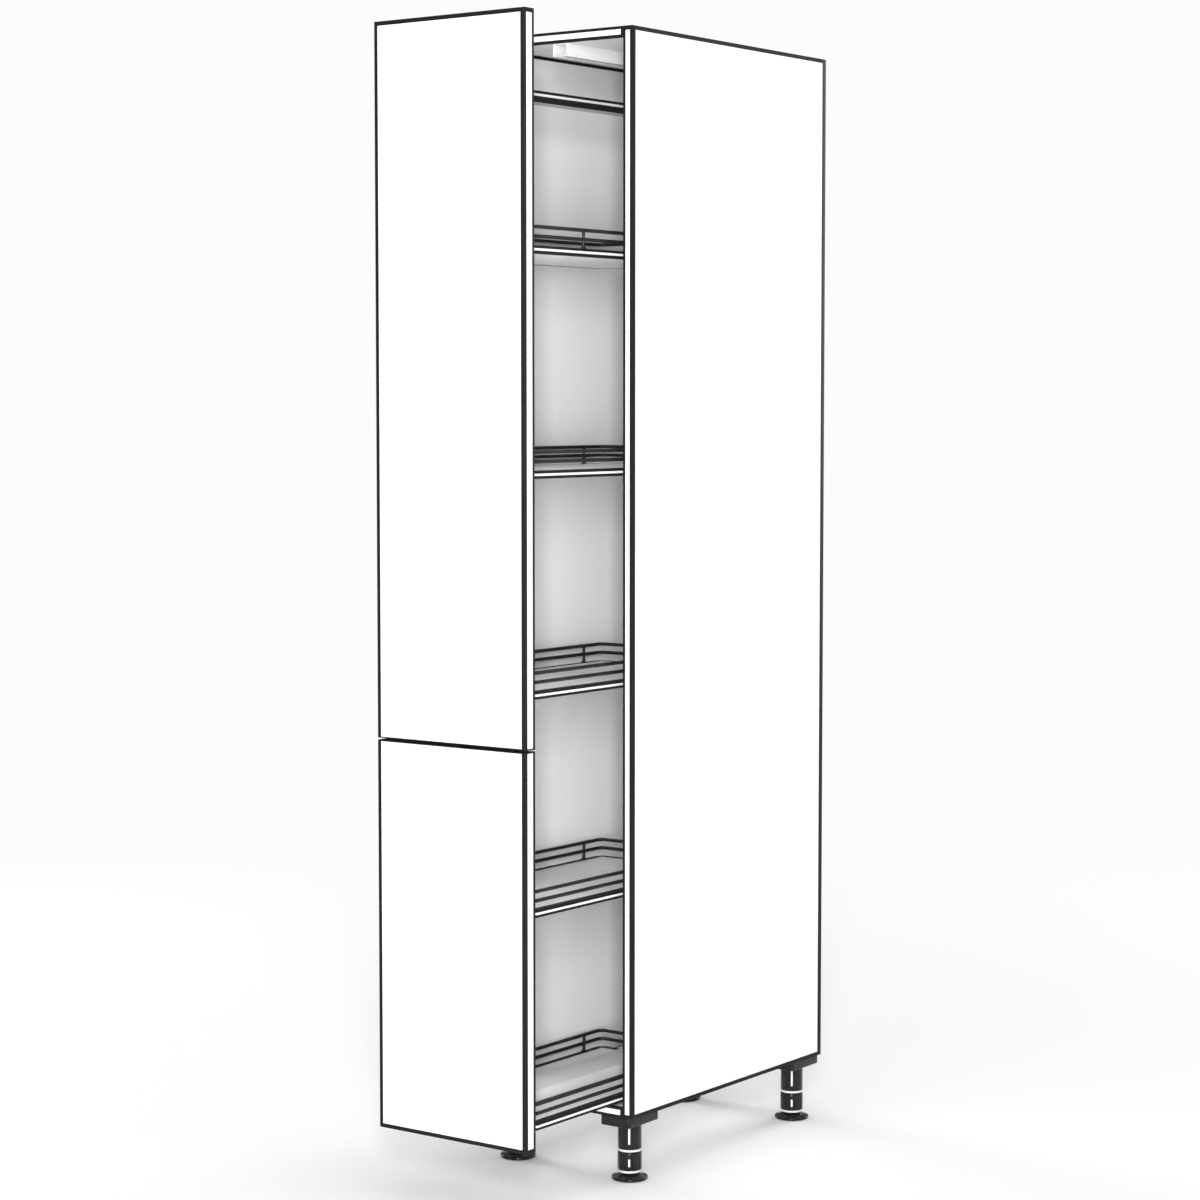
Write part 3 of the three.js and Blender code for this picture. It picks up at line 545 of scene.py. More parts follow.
# Soft boxes: name, place, what they face, width and height, power in watts
SOFT_BOXES = [
    ("front_box", (3.05, -4.2, 1.3), (0.0, 0.0, 0.95), (0.6, 2.8), 335.0),
    ("left_box", (-5.0, 0.6, 1.9), (0.0, 0.0, 1.0), (2.0, 2.5), 140.0),
    ("back_box", (0.8, 5.6, 2.2), (0.0, 0.0, 1.0), (2.5, 2.5), 150.0),
    ("top_box", (0.6, -0.6, 5.2), (0.0, 0.0, 0.0), (4.0, 4.0), 100.0),
]


def make_camera():
    data = bpy.data.cameras.new("camera")
    data.sensor_width = 36.0
    data.lens = CAMERA_LENS
    data.clip_end = 200.0
    camera = bpy.data.objects.new("camera", data)
    camera.location = CAMERA_PLACE
    camera.rotation_euler = (math.pi / 2 - CAMERA_PITCH, 0.0, CAMERA_YAW)
    bpy.context.scene.collection.objects.link(camera)
    bpy.context.scene.camera = camera


def make_light(name, place, aim, size, power):
    """A soft box that faces aim."""
    data = bpy.data.lights.new(name, "AREA")
    data.shape = "RECTANGLE"
    data.size, data.size_y = size
    data.energy = power
    light = bpy.data.objects.new(name, data)
    light.location = place
    light.rotation_euler = (Vector(aim) - Vector(place)).to_track_quat("-Z", "Y").to_euler()
    bpy.context.scene.collection.objects.link(light)


def make_world():
    """The room behind is white; as a light it is dimmer, so that the soft boxes shape the unit."""
    world = bpy.data.worlds.new("studio")
    world.use_nodes = True
    tree = world.node_tree
    seen = tree.nodes["Background"]
    seen.inputs["Color"].default_value = (*BACKGROUND, 1.0)
    seen.inputs["Strength"].default_value = 1.0
    lit = tree.nodes.new("ShaderNodeBackground")
    lit.inputs["Color"].default_value = (*BACKGROUND, 1.0)
    lit.inputs["Strength"].default_value = ROOM_LIGHT
    path = tree.nodes.new("ShaderNodeLightPath")
    mix = tree.nodes.new("ShaderNodeMixShader")
    tree.links.new(path.outputs["Is Camera Ray"], mix.inputs[0])
    tree.links.new(lit.outputs[0], mix.inputs[1])
    tree.links.new(seen.outputs[0], mix.inputs[2])
    tree.links.new(mix.outputs[0], tree.nodes["World Output"].inputs["Surface"])
    bpy.context.scene.world = world
    bpy.context.scene.view_settings.view_transform = "Standard"


def make_floor():
    """A pale floor that melts into the background some way out."""
    mesh = bmesh.new()
    add_loft(mesh, [circle(FLOOR_RADIUS, level, ROUND_SIDES) for level in FLOOR_LEVELS])
    material = bpy.data.materials.new("studio_floor")
    material.use_nodes = True
    tree = material.node_tree
    surface = tree.nodes["Principled BSDF"]
    surface.inputs["Base Color"].default_value = (0.9, 0.9, 0.9, 1.0)
    surface.inputs["Roughness"].default_value = 0.8
    surface.inputs["Specular IOR Level"].default_value = 0.15
    glow = tree.nodes.new("ShaderNodeEmission")
    glow.inputs["Color"].default_value = (*BACKGROUND, 1.0)
    place = tree.nodes.new("ShaderNodeTexCoord")
    away = tree.nodes.new("ShaderNodeVectorMath")
    away.operation = "LENGTH"
    share = tree.nodes.new("ShaderNodeMapRange")
    share.interpolation_type = "SMOOTHSTEP"
    share.inputs["From Min"].default_value = FADE_START
    share.inputs["From Max"].default_value = FADE_END
    mix = tree.nodes.new("ShaderNodeMixShader")
    tree.links.new(place.outputs["Object"], away.inputs[0])
    tree.links.new(away.outputs["Value"], share.inputs["Value"])
    tree.links.new(share.outputs["Result"], mix.inputs[0])
    tree.links.new(surface.outputs[0], mix.inputs[1])
    tree.links.new(glow.outputs[0], mix.inputs[2])
    tree.links.new(mix.outputs[0], tree.nodes["Material Output"].inputs["Surface"])
    data = bpy.data.meshes.new("floor")
    mesh.to_mesh(data)
    mesh.free()
    data.materials.append(material)
    floor = bpy.data.objects.new("floor", data)
    bpy.context.scene.collection.objects.link(floor)


make_camera()
make_world()
make_floor()
for soft_box in SOFT_BOXES:
    make_light(*soft_box)


# ---------------------------------------------------------------- boards

SIDES = [(axis, end) for axis in range(3) for end in (0, 1)]
LEFT_SIDE, RIGHT_SIDE, FRONT_SIDE, BACK_SIDE, BOTTOM_SIDE, TOP_SIDE = SIDES

# Lines of their own width, by the side that they run beside
PANEL_LINES = {
    FRONT_SIDE: PANEL_FRONT_LINE,
    BACK_SIDE: PANEL_BACK_LINE,
    BOTTOM_SIDE: LEVEL_LINE,
    TOP_SIDE: LEVEL_LINE,
}
FRONT_LINES = {
    LEFT_SIDE: FRONT_SIDE_LINE,
    RIGHT_SIDE: FRONT_SIDE_LINE,
    BACK_SIDE: FRONT_BACK_LINE,
    BOTTOM_SIDE: LEVEL_LINE,
    TOP_SIDE: LEVEL_LINE,
}


def split_across(mesh, axis, level):
    """Cuts the faces along a plane across an axis."""
    normal = Vector([float(i == axis) for i in range(3)])
    bmesh.ops.bisect_plane(
        mesh, geom=[*mesh.verts, *mesh.edges, *mesh.faces], dist=WELD,
        plane_co=normal * level, plane_no=normal,
    )


def add_lines(mesh, box, widths):
    """Marks a dark line along the edges of a box. widths follow SIDES."""
    levels = []
    for (axis, end), width in zip(SIDES, widths):
        level = box[end][axis] + (-width if end else width)
        levels.append((axis, end, level))
        split_across(mesh, axis, level)
    for face in mesh.faces:
        middle = face.calc_center_median()
        near = sum(
            middle[axis] >= level - WELD if end else middle[axis] <= level + WELD
            for axis, end, level in levels
        )
        if near > 1:
            face.material_index = 1


def paint_side_shade(mesh, side):
    """Paints one whole side of a board dark: painted shade where that side faces a narrow gap."""
    axis, end = side
    for face in mesh.faces:
        if face.normal[axis] * (1 if end else -1) > FACING:
            face.material_index = 1


def add_corner_shade_line(mesh, level, inward):
    """Paints a dark line along the inner face of a side panel, just under a level: painted shade in the
    corner under the top panel.
    """
    for height in (level, level - EDGE_LINE):
        split_across(mesh, 2, height)
    for face in mesh.faces:
        if level - EDGE_LINE < face.calc_center_median().z < level and face.normal.x * inward > FACING:
            face.material_index = 1


def dress_board(
    node, finish, body, edge=EDGE_ROUND, raw=(), line=EDGE_LINE, own=None, dark=None, inward=0
):
    """The node's board with a dark line along every edge; raw sides show the core.

    own has other widths for the lines beside some of the SIDES.
    dark is a whole side that is painted dark: painted shade in the gap between the fronts.
    inward, 1 or -1 along X, is the face of a side panel that gets a painted line of shade under the top
    panel.
    """
    mesh = solid_of(node)
    for face in mesh.faces:
        bare = any(face.normal.dot(Vector(side)) > FACING for side in raw)
        face.material_index = 2 if bare else 0
    if line:
        widths = own or {}
        add_lines(mesh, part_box(node), [widths.get(side, line) for side in SIDES])
    if dark:
        # The whole side is painted dark: painted shade in the gap.
        paint_side_shade(mesh, dark)
    # A dark line of painted shade in the inner corner under the top panel.
    if inward:
        add_corner_shade_line(mesh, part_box("top_panel")[0].z, inward)
    rounded(mesh, edge, material=1 if line else -1)
    finished(f"{node}_dressed", mesh, [finish, EDGE_AND_SHADE_DARK, CORE], body, [node])


for side, inward in (("left", 1), ("right", -1)):
    dress_board(
        f"side_panel_{side}", MELAMINE, "carcass",
        raw=(REAR, DOWN), own=PANEL_LINES, inward=inward,
    )
for name in ("top_panel", "bottom_panel"):
    dress_board(name, MELAMINE, "carcass", raw=(REAR,))
dress_board("back_panel", HARDBOARD, "carcass", line=0.0)
# Where the fronts meet, their facing sides are painted dark whole: painted shade in the gap between them.
for name, split in (("front_lower", TOP_SIDE), ("front_upper", BOTTOM_SIDE)):
    widths = {**FRONT_LINES, split: SPLIT_LINE}
    dress_board(name, LACQUER, "pull_out", FRONT_EDGE_ROUND, own=widths, dark=split)


# ---------------------------------------------------------------- trays

def dress_tray_board(node):
    """A tray base with rounded outer corners and a dark line round both rims."""
    low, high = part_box(node)
    # The halves of the lowest tray are square where they meet.
    left = TRAY_CORNER if low.x < -TRAY_CORNER else 0.0
    right = TRAY_CORNER if high.x > TRAY_CORNER else 0.0
    mesh = bmesh.new()
    add_slab(mesh, low, high, [left, right, right, left], TRAY_EDGE_ROUND, TRAY_LINE, TRAY_RIM_LINE)
    finished(f"{node}_dressed", mesh, [TRAY_WHITE, EDGE_AND_SHADE_DARK], "pull_out", [node])


def wire_path(low, high, gap=0.0):
    """Stations round a gallery's rounded rectangle.

    A gap, which is half as wide as the opening round X = 0, leaves the right half alone.
    """
    radius = TRAY_CORNER - WIRE_RADIUS
    centre_x = high.x - WIRE_RADIUS - radius
    front = low.y + WIRE_RADIUS + radius
    rear = high.y - WIRE_RADIUS - radius
    stations = []
    if gap:
        stations.append((gap, front - radius, 0.0, -1.0))
    for sign, middle, start in ((1, front, -90), (1, rear, 0), (-1, rear, 90), (-1, front, 180)):
        if gap and sign < 0:
            break
        for i in range(CORNER_STEPS + 1):
            turn = math.radians(start + 90 * i / CORNER_STEPS)
            out_x, out_y = math.cos(turn), math.sin(turn)
            stations.append((sign * centre_x + radius * out_x, middle + radius * out_y, out_x, out_y))
    if gap:
        stations.append((gap, rear + radius, 0.0, 1.0))
    return stations


def dress_gallery(number, board, gap=0.0, setbacks=SIDE_POST_SETBACKS):
    """Two wires round the tray on posts with a foot, and the welds between them.

    With a gap the lower wire is in two parts, one on either side of it.
    """
    node = f"tray_{number}_gallery"
    low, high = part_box(node)
    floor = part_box(board)[1].z
    mid = floor + MID_RAIL_HEIGHT
    top = floor + TOP_RAIL_HEIGHT
    mesh = bmesh.new()
    add_wire(mesh, wire_path(low, high), top)
    if gap:
        right = wire_path(low, high, gap)
        left = [(-x, y, -out_x, out_y) for x, y, out_x, out_y in right]
        add_wire(mesh, right, mid, closed=False)
        add_wire(mesh, left, mid, closed=False)
    else:
        add_wire(mesh, wire_path(low, high), mid)
    side = high.x - WIRE_RADIUS
    front = low.y + WIRE_RADIUS
    rear = high.y - WIRE_RADIUS
    places = []
    for sign in (-1, 1):
        places += [(sign * side, high.y - setback) for setback in setbacks]
        places.append((sign * END_POST_SPREAD / 2, front))
        places.append((sign * END_POST_SPREAD / 2, rear))
    foot = [
        (POST_FOOT_RADIUS, 0.0),
        (POST_FOOT_RADIUS, 0.6 * POST_FOOT_HEIGHT),
        (0.8 * POST_FOOT_RADIUS, POST_FOOT_HEIGHT),
        (1.25 * POST_RADIUS, 1.25 * POST_FOOT_HEIGHT),
        (POST_RADIUS, 1.9 * POST_FOOT_HEIGHT),
        (POST_RADIUS, TOP_RAIL_HEIGHT),
    ]
    for x, y in places:
        add_turned(mesh, foot, Matrix.Translation((x, y, floor)), WIRE_SIDES)
        add_ball(mesh, (x, y, mid), WELD_RADIUS, MID_WELD_SQUASH)
        add_ball(mesh, (x, y, top - TOP_WELD_DROP), WELD_RADIUS, TOP_WELD_SQUASH)
    finished(f"tray_{number}_rails", mesh, [BLACK_WIRE], "pull_out", [node])


for side in ("left", "right"):
    dress_tray_board(f"tray_1_board_{side}")
dress_gallery(1, "tray_1_board_left", gap=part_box("tray_1_board_right")[0].x)
for number in range(2, 5):
    dress_tray_board(f"tray_{number}_board")
    dress_gallery(number, f"tray_{number}_board")
dress_tray_board("tray_5_board")
dress_gallery(5, "tray_5_board", setbacks=(*SIDE_POST_SETBACKS, TOP_TRAY_POST_SETBACK))


# ---------------------------------------------------------------- feet

def centre_of(node):
    low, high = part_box(node)
    return (low + high) / 2


def upright_axis(node):
    """The place of a node's upright axis, at floor level."""
    centre = centre_of(node)
    return Matrix.Translation((centre.x, centre.y, 0.0))


def add_painted_highlight(mesh, place, radius, low, high):
    """A painted highlight: a pale stroke with round ends, let into the front right of an upright round
    wall.
    """
    half = HIGHLIGHT_WIDTH / 2
    ends = [math.radians(turn) for turn in (12, 32, 58, 90)]
    rows = [(low + half * (1 - math.cos(turn)), half / radius * math.sin(turn)) for turn in ends]
    rows += [(low + high - level, spread) for level, spread in reversed(rows)]
    loops = []
    for level, spread in rows:
        turns = [HIGHLIGHT_SIDE + spread * share for share in (-1, -0.5, 0, 0.5, 1)]
        arc = [(radius + HIGHLIGHT_PROUD, turn) for turn in turns]
        arc += [(radius - HIGHLIGHT_SUNK, turn) for turn in reversed(turns)]
        loops.append([place @ Vector((r * math.cos(turn), r * math.sin(turn), level)) for r, turn in arc])
    add_loft(mesh, loops, [1] * len(loops))


def dress_foot_mount(corner):
    """A plate with rounded corners over a flared socket that is bored from below."""
    node = f"foot_mount_{corner}"
    low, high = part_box(node)
    place = upright_axis(node)
    plate_bottom = high.z - PLATE_THICKNESS
    roof = high.z - BORE_ROOF
    profile = [
        (0.5 * BORE_RADIUS, roof),
        (BORE_RADIUS, roof),
        (BORE_RADIUS, low.z + BORE_CHAMFER),
        (BORE_RADIUS + BORE_CHAMFER, low.z),
    ]
    profile += [(SOCKET_RADIUS - inset, low.z + drop) for inset, drop in rounding(SOCKET_ROUND)]
    for i in range(CURVE_STEPS + 1):
        turn = math.radians(90 * i / CURVE_STEPS)
        reach = SOCKET_RADIUS + SOCKET_FLARE * (1 - math.cos(turn))
        profile.append((reach, plate_bottom - SOCKET_FLARE * (1 - math.sin(turn))))
    profile.append((SOCKET_RADIUS + SOCKET_FLARE, plate_bottom + PLATE_OVERLAP))
    mesh = bmesh.new()
    add_slab(mesh, Vector((low.x, low.y, plate_bottom)), high, [PLATE_CORNER] * 4, PLATE_ROUND)
    add_turned(mesh, profile, place)
    # A pale stroke down the socket: a painted highlight.
    add_painted_highlight(mesh, place, SOCKET_RADIUS, low.z + SOCKET_HIGHLIGHT_LIFT, plate_bottom - SOCKET_FLARE)
    materials = [BLACK_PLASTIC, NYLON_AND_PAINTED_HIGHLIGHT]
    finished(f"{node}_dressed", mesh, materials, "carcass", [node])


def fluted(radius, level, place):
    """A circle with the grip flutes cut into it; each flute and land has the same points."""
    half_flute = math.asin(FLUTE_RADIUS / radius)
    land = 2 * math.pi / FLUTES - 2 * half_flute
    polar = []
    for flute in range(FLUTES):
        middle = 2 * math.pi * flute / FLUTES
        for i in range(-FLUTE_STEPS, FLUTE_STEPS + 1):
            turn = half_flute * i / FLUTE_STEPS
            dip = math.sqrt(max(0.0, FLUTE_RADIUS ** 2 - (radius * math.sin(turn)) ** 2))
            polar.append((radius * math.cos(turn) - dip, middle + turn))
        for i in range(1, LAND_STEPS):
            polar.append((radius, middle + half_flute + land * i / LAND_STEPS))
    return [
        place @ Vector((reach * math.cos(turn), reach * math.sin(turn), level)) for reach, turn in polar
    ]


def dress_foot_collar(corner):
    """The ring that is turned by hand, with flutes and rounded rims, a pale stroke that is a painted
    highlight, and two pale rings like slip washers, which are painted highlights in the gaps above and
    below it.
    """
    node = f"foot_collar_{corner}"
    low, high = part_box(node)
    centre = centre_of(node)
    place = upright_axis(node)
    radius = (high.x - low.x) / 2
    rows = [(radius - inset, low.z + drop) for inset, drop in rounding(COLLAR_LOWER_ROUND)]
    rows += [(radius - inset, high.z - drop) for inset, drop in reversed(rounding(COLLAR_UPPER_ROUND, 5))]
    loops = [fluted(r, z, place) for r, z in rows]
    angles = [math.atan2(p.y - centre.y, p.x - centre.x) for p in loops[0]]
    for level in (high.z, low.z):
        loops.append([
            Vector((centre.x + BORE_RADIUS * math.cos(t), centre.y + BORE_RADIUS * math.sin(t), level))
            for t in angles
        ])
    mesh = bmesh.new()
    add_loft(mesh, loops, closed=True)
    # A pale stroke on the collar: a painted highlight.
    highlight_low = low.z + COLLAR_HIGHLIGHT_LIFT
    add_painted_highlight(mesh, place, radius, highlight_low, highlight_low + COLLAR_HIGHLIGHT_LENGTH)
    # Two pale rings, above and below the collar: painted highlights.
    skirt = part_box(f"foot_mount_{corner}")[0].z
    for start, end in ((DISC_HEIGHT, low.z), (high.z, skirt)):
        top = end - HIGHLIGHT_RING_GAP
        bottom = start + HIGHLIGHT_RING_GAP
        ring = [(BORE_RADIUS, bottom), (HIGHLIGHT_RING_RADIUS, bottom), (HIGHLIGHT_RING_RADIUS, top), (BORE_RADIUS, top)]
        add_turned(mesh, ring, place, closed=True, index=1)
    materials = [BLACK_PLASTIC, NYLON_AND_PAINTED_HIGHLIGHT]
    finished(f"{node}_dressed", mesh, materials, f"collar_{corner}", [node])


def add_thread(mesh, place, low, high):
    """A threaded stem: crest and root follow a helix round the axis."""
    rows = int(round((high - low) / THREAD_PITCH * 4))
    loops = []
    for row in range(rows + 1):
        level = low + (high - low) * row / rows
        loop = []
        for i in range(SMALL_SIDES):
            turn = 2 * math.pi * i / SMALL_SIDES
            phase = (level / THREAD_PITCH - i / SMALL_SIDES) % 1.0
            crest = 1 - abs(2 * phase - 1)
            reach = STEM_ROOT + (STEM_CREST - STEM_ROOT) * crest
            loop.append(place @ Vector((reach * math.cos(turn), reach * math.sin(turn), level)))
        loops.append(loop)
    add_loft(mesh, loops)


def dress_foot_disc(corner):
    """A broad disc with a soft rim and a threaded stem."""
    node = f"foot_disc_{corner}"
    low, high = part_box(node)
    place = upright_axis(node)
    radius = (high.x - low.x) / 2
    shoulder = radius - DISC_RIM_ROUND
    profile = [(radius - inset, drop) for inset, drop in rounding(DISC_FOOT_ROUND)]
    profile += [(radius - inset, DISC_RIM - drop) for inset, drop in reversed(rounding(DISC_RIM_ROUND))]
    for i in range(1, CURVE_STEPS + 1):
        share = i / CURVE_STEPS
        reach = shoulder + (DISC_NECK - shoulder) * share
        profile.append((reach, DISC_RIM + (DISC_CONE_TOP - DISC_RIM) * share ** DISC_CONE_CURVE))
    profile += [
        (DISC_NECK, DISC_HEIGHT - DISC_NECK_DROP),
        (DISC_NECK - DISC_NECK_INSET, DISC_HEIGHT),
        (0.5 * STEM_ROOT, DISC_HEIGHT),
    ]
    mesh = bmesh.new()
    add_turned(mesh, profile, place)
    add_thread(mesh, place, DISC_HEIGHT - STEM_OVERLAP, high.z)
    finished(f"{node}_dressed", mesh, [BLACK_PLASTIC], f"disc_{corner}", [node])


CORNERS = ("front_left", "front_right", "rear_left", "rear_right")
for corner in CORNERS:
    dress_foot_mount(corner)
    dress_foot_collar(corner)
    dress_foot_disc(corner)


# ---------------------------------------------------------------- sheet metal of the frame and runner

def dress_sheet(node, finish, body, radius=SHEET_ROUND):
    """The node's own solid with softened edges."""
    mesh = solid_of(node)
    rounded(mesh, radius)
    finished(f"{node}_dressed", mesh, [finish], body, [node])


def dress_upright(node, slotted):
    """A square tube; the wall on its slotted side, -1 or 1 along Y, has a row of slots."""
    low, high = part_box(node)
    wall = high.y if slotted > 0 else low.y
    plain = low.y if slotted > 0 else high.y
    slot = SLOT_WIDTH / 2

    # The tube's outline has six points, and its slots lie between the fourth and the fifth.
    stretches = [(i, (i + 1) % 6) for i in range(6)]
    slot_start, slot_end = stretches[3]

    def ring(inset):
        across = high.x - inset
        near = plain + slotted * inset
        far = wall - slotted * inset
        return [(-across, near), (across, near), (across, far), (slot, far), (-slot, far), (-across, far)]

    levels = [low.z]
    start = low.z + SLOT_INSET
    while start + SLOT_HEIGHT < high.z - SLOT_INSET:
        levels += [start, start + SLOT_HEIGHT]
        start += SLOT_PITCH
    levels.append(high.z)
    mesh = bmesh.new()
    outer, inner = (
        [[mesh.verts.new((x, y, level)) for x, y in ring(inset)] for level in levels]
        for inset in (0.0, TUBE_WALL)
    )
    for band in range(len(levels) - 1):
        open_band = band % 2 == 1
        for i, j in stretches:
            if open_band and i == slot_start:
                continue
            for skin in (outer, inner):
                mesh.faces.new((skin[band][i], skin[band][j], skin[band + 1][j], skin[band + 1][i]))
        if open_band:
            for i in (slot_start, slot_end):
                mesh.faces.new((outer[band][i], inner[band][i], inner[band + 1][i], outer[band + 1][i]))
            for row in (band, band + 1):
                mesh.faces.new((
                    outer[row][slot_start], outer[row][slot_end],
                    inner[row][slot_end], inner[row][slot_start],
                ))
    for row in (0, -1):
        for i, j in stretches:
            mesh.faces.new((outer[row][i], outer[row][j], inner[row][j], inner[row][i]))
    bmesh.ops.recalc_face_normals(mesh, faces=mesh.faces)
    rims = {vertex for row in outer for vertex in row if abs(abs(vertex.co.x) - high.x) < WELD}
    corners = []
    for edge in mesh.edges:
        first, second = edge.verts
        if first in rims and second in rims and abs(first.co.z - second.co.z) > WELD:
            corners.append(edge)
    bmesh.ops.bevel(mesh, geom=corners, offset=TUBE_CORNER, segments=3, profile=0.5, affect="EDGES")
    finished(f"{node}_dressed", mesh, [GREY_STEEL], "pull_out", [node])


dress_upright("frame_front_upright", 1)
dress_upright("frame_rear_upright", -1)
dress_board("frame_top_bar", GREY_STEEL, "pull_out", SHEET_ROUND, line=BAR_LINE)
dress_sheet("frame_bottom_bar", GREY_STEEL, "pull_out", BROAD_ROUND)
dress_sheet("tray_1_saddle", GREY_STEEL, "pull_out", PRESSED_ROUND)
dress_sheet("runner_fixed_rail", ZINC_LONG, "carcass")
dress_sheet("runner_middle_rail", ZINC_LONG, "middle_rail")
dress_sheet("runner_moving_rail", ZINC_LONG, "pull_out")
dress_sheet("guide_channel", GREY_STEEL, "carcass")
dress_sheet("guide_carriage", GREY_PLASTIC, "pull_out", PRESSED_ROUND)
FRONT_BRACKETS = [f"front_bracket_{number}" for number in range(1, 5)]
TRAY_BRACKETS = [
    (f"tray_{number}_bracket_{end}", end) for number in range(2, 6) for end in ("front", "rear")
]
for node in FRONT_BRACKETS:
    dress_sheet(node, ZINC_UP, "pull_out", BROAD_ROUND)
for node, _ in TRAY_BRACKETS:
    dress_sheet(node, ZINC_UP, "pull_out", PRESSED_ROUND)


def add_channel(mesh, right, start, end):
    """A profile drawn lengthways: right has the [x, z] points of its right half, from below up."""
    section = right + [(-x, z) for x, z in reversed(right)]
    add_loft(mesh, [[Vector((x, y, z)) for x, z in section] for y in (start, end)])


def dress_cage(node, body):
    """The cage's strip, turned up along both sides, and its steel balls."""
    low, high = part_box(node)
    ball_x = high.x - BALL_RADIUS
    half = CAGE_SHEET / 2
    rim = BALL_LEVEL + BALL_RADIUS + CAGE_RIM_LIFT
    right = [
        (ball_x + half, low.z),
        (ball_x + half, rim),
        (ball_x - half, rim),
        (ball_x - half, low.z + CAGE_SHEET),
    ]
    mesh = bmesh.new()
    add_channel(mesh, right, low.y, high.y)
    for i in range(BALLS_PER_SIDE):
        y = low.y + (i + 0.5) / BALLS_PER_SIDE * (high.y - low.y)
        for sign in (-1, 1):
            add_ball(mesh, (sign * ball_x, y, BALL_LEVEL), BALL_RADIUS)
    finished(f"{node}_dressed", mesh, [SCREW_STEEL], body, [node])


dress_cage("runner_lower_cage", "lower_cage")
dress_cage("runner_upper_cage", "upper_cage")


# ---------------------------------------------------------------- guide wheels and axle

def dress_wheel(side):
    """A crowned wheel with a sunk web and a hub."""
    node = f"guide_wheel_{side}"
    low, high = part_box(node)
    centre = centre_of(node)
    half = (high.x - low.x) / 2
    radius = (high.z - low.z) / 2
    bore = AXLE_RADIUS + WHEEL_PLAY
    web = half - WHEEL_WEB_SINK
    outward = [
        (bore, half),
        (bore + WHEEL_HUB, half),
        (bore + WHEEL_HUB_FOOT, web),
        (radius - WHEEL_RIM_FOOT, web),
        (radius - WHEEL_RIM, half),
        (radius - WHEEL_CROWN, half),
        (radius - WHEEL_SHOULDER, 0.6 * half),
    ]
    profile = outward + [(radius, 0.0)] + [(r, -z) for r, z in reversed(outward)]
    mesh = bmesh.new()
    place = Matrix.Translation(centre) @ towards(RIGHT)
    add_turned(mesh, profile, place, SMALL_SIDES, closed=True)
    finished(f"{node}_dressed", mesh, [NYLON_AND_PAINTED_HIGHLIGHT], f"wheel_{side}", [node])


def dress_axle():
    """A pin with a chamfer at both ends."""
    low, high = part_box("guide_axle")
    half = (high.x - low.x) / 2
    end = [(AXLE_RADIUS - AXLE_CHAMFER, half), (AXLE_RADIUS, half - AXLE_CHAMFER)]
    profile = [(r, -x) for r, x in end] + list(reversed(end))
    mesh = bmesh.new()
    place = Matrix.Translation(centre_of("guide_axle")) @ towards(RIGHT)
    add_turned(mesh, profile, place, SMALL_SIDES)
    finished("guide_axle_dressed", mesh, [SCREW_STEEL], "pull_out", ["guide_axle"])


dress_wheel("left")
dress_wheel("right")
dress_axle()


# ---------------------------------------------------------------- bumpers, cover strip and caps

def dress_bumper(end):
    """A soft dome on the back of a front."""
    node = f"front_bumper_{end}"
    low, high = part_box(node)
    centre = centre_of(node)
    radius = (high.x - low.x) / 2
    height = high.y - low.y
    place = Matrix.Translation((centre.x, low.y, centre.z)) @ towards(REAR)
    profile = [(radius, 0.0), (radius, BUMPER_WALL * height)]
    for i in range(1, CURVE_STEPS):
        turn = math.radians(90 * i / CURVE_STEPS)
        rise = BUMPER_WALL + (1 - BUMPER_WALL) * math.sin(turn)
        profile.append((radius * math.cos(turn), height * rise))
    profile.append((0.1 * radius, height))
    mesh = bmesh.new()
    add_turned(mesh, profile, place, SMALL_SIDES)
    finished(f"{node}_dressed", mesh, [SOFT_RUBBER], "pull_out", [node])


def make_bar_cover():
    """The black profile that closes the open underside of the top bar and clasps its lower edges."""
    low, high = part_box("frame_top_bar")
    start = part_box("frame_front_upright")[1].y + COVER_END_GAP
    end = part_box("frame_rear_upright")[0].y - COVER_END_GAP
    inner = high.x + COVER_GAP
    outer = inner + COVER_SHEET
    floor = low.z - COVER_GAP
    lip = low.z + COVER_HEIGHT
    right = [(outer, floor - COVER_SHEET), (outer, lip), (inner, lip), (inner, floor)]
    mesh = bmesh.new()
    add_channel(mesh, right, start, end)
    finished("top_bar_cover", mesh, [BLACK_PLASTIC], "pull_out")


def make_caps():
    """Flat covers over the fittings that hold the top and bottom panels."""
    low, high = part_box("bottom_panel")
    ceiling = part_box("top_panel")[0].z
    mesh = bmesh.new()
    profile = [(CAP_RADIUS, 0.0), (CAP_RADIUS, 0.5 * CAP_HEIGHT), (0.93 * CAP_RADIUS, CAP_HEIGHT)]
    for x in (low.x + CAP_SIDE_INSET, high.x - CAP_SIDE_INSET):
        for y in (low.y + CAP_FRONT_INSET, high.y - CAP_REAR_INSET):
            for level, direction in ((high.z, UP), (ceiling, DOWN)):
                place = Matrix.Translation((x, y, level)) @ towards(direction)
                add_turned(mesh, profile, place, SMALL_SIDES)
    finished("fitting_covers", mesh, [WHITE_CAP], "carcass")


dress_bumper("bottom")
dress_bumper("top")
make_bar_cover()
make_caps()


# ---------------------------------------------------------------- screws

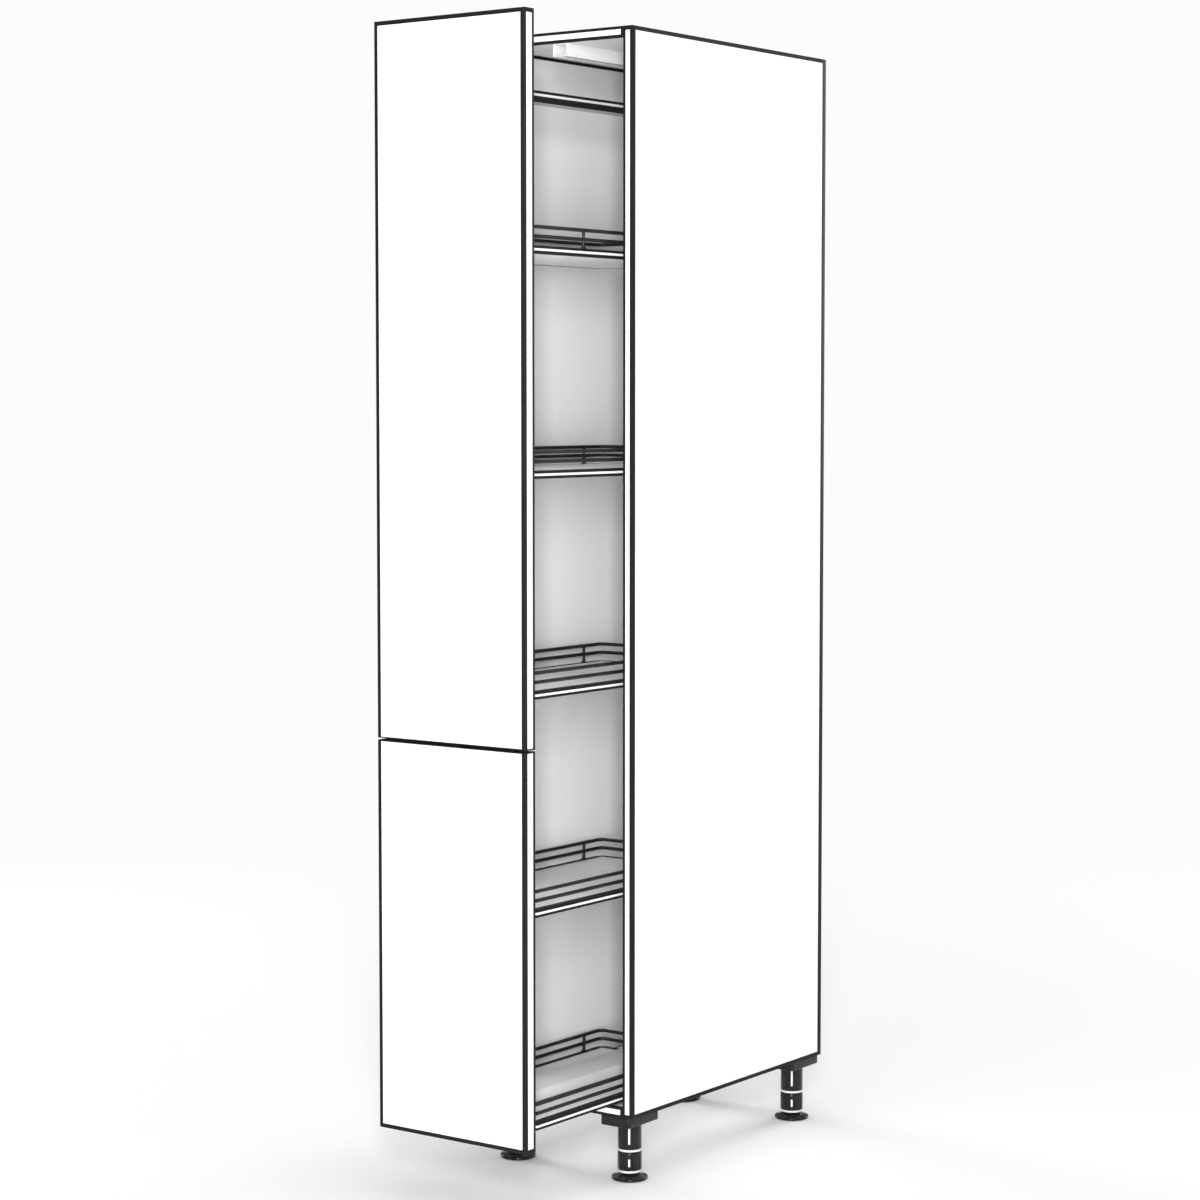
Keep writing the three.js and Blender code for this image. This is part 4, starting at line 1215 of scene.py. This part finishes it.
def spread(low, high, inset, count):
    """Evenly spaced places between two ends, the outer ones inset from them."""
    return [low + inset + i * (high - low - 2 * inset) / (count - 1) for i in range(count)]


def foot_screws():
    mesh = bmesh.new()
    for corner in CORNERS:
        centre = centre_of(f"foot_mount_{corner}")
        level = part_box(f"foot_mount_{corner}")[1].z - PLATE_THICKNESS
        for x in (-PLATE_SCREW_X, PLATE_SCREW_X):
            for y in (-PLATE_SCREW_Y, PLATE_SCREW_Y):
                add_screw(mesh, (centre.x + x, centre.y + y, level), DOWN)
    return mesh


def channel_screws():
    """The screws that hold the guide channel under the top panel."""
    mesh = bmesh.new()
    low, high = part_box("guide_channel")
    for y in spread(low.y, high.y, CHANNEL_SCREW_INSET, CHANNEL_SCREWS):
        add_screw(mesh, (0.0, y, high.z - CHANNEL_SHEET), DOWN, CHANNEL_SCREW_HEAD)
    return mesh


def pull_out_screws():
    """The screws on the backs of the fronts, under the trays and under the saddle."""
    mesh = bmesh.new()
    for node in FRONT_BRACKETS:
        low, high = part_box(node)
        for x in (low.x + FRONT_SCREW_INSET, high.x - FRONT_SCREW_INSET):
            for z in (low.z + FRONT_SCREW_INSET, high.z - FRONT_SCREW_INSET):
                add_screw(mesh, (x, low.y + FRONT_BRACKET_SHEET, z), REAR)
    for node, end in TRAY_BRACKETS:
        low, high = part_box(node)
        level = high.z - TRAY_BRACKET_SHEET
        for inset in TRAY_SCREW_INSETS:
            y = high.y - inset if end == "front" else low.y + inset
            for x in (-TRAY_SCREW_X, TRAY_SCREW_X):
                add_screw(mesh, (x, y, level), DOWN, TRAY_SCREW_HEAD)
    low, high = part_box("tray_1_saddle")
    for sign in (-1, 1):
        for y in spread(low.y, high.y, SADDLE_SCREW_INSET, SADDLE_SCREWS):
            add_screw(mesh, (sign * (high.x - SADDLE_SCREW_EDGE), y, low.z), DOWN, SADDLE_SCREW_HEAD)
    return mesh


finished("carcass_screws", channel_screws(), [SCREW_STEEL], "carcass")
finished("foot_screws", foot_screws(), [BLACK_SCREW], "carcass")
finished("pull_out_screws", pull_out_screws(), [SCREW_STEEL], "pull_out")
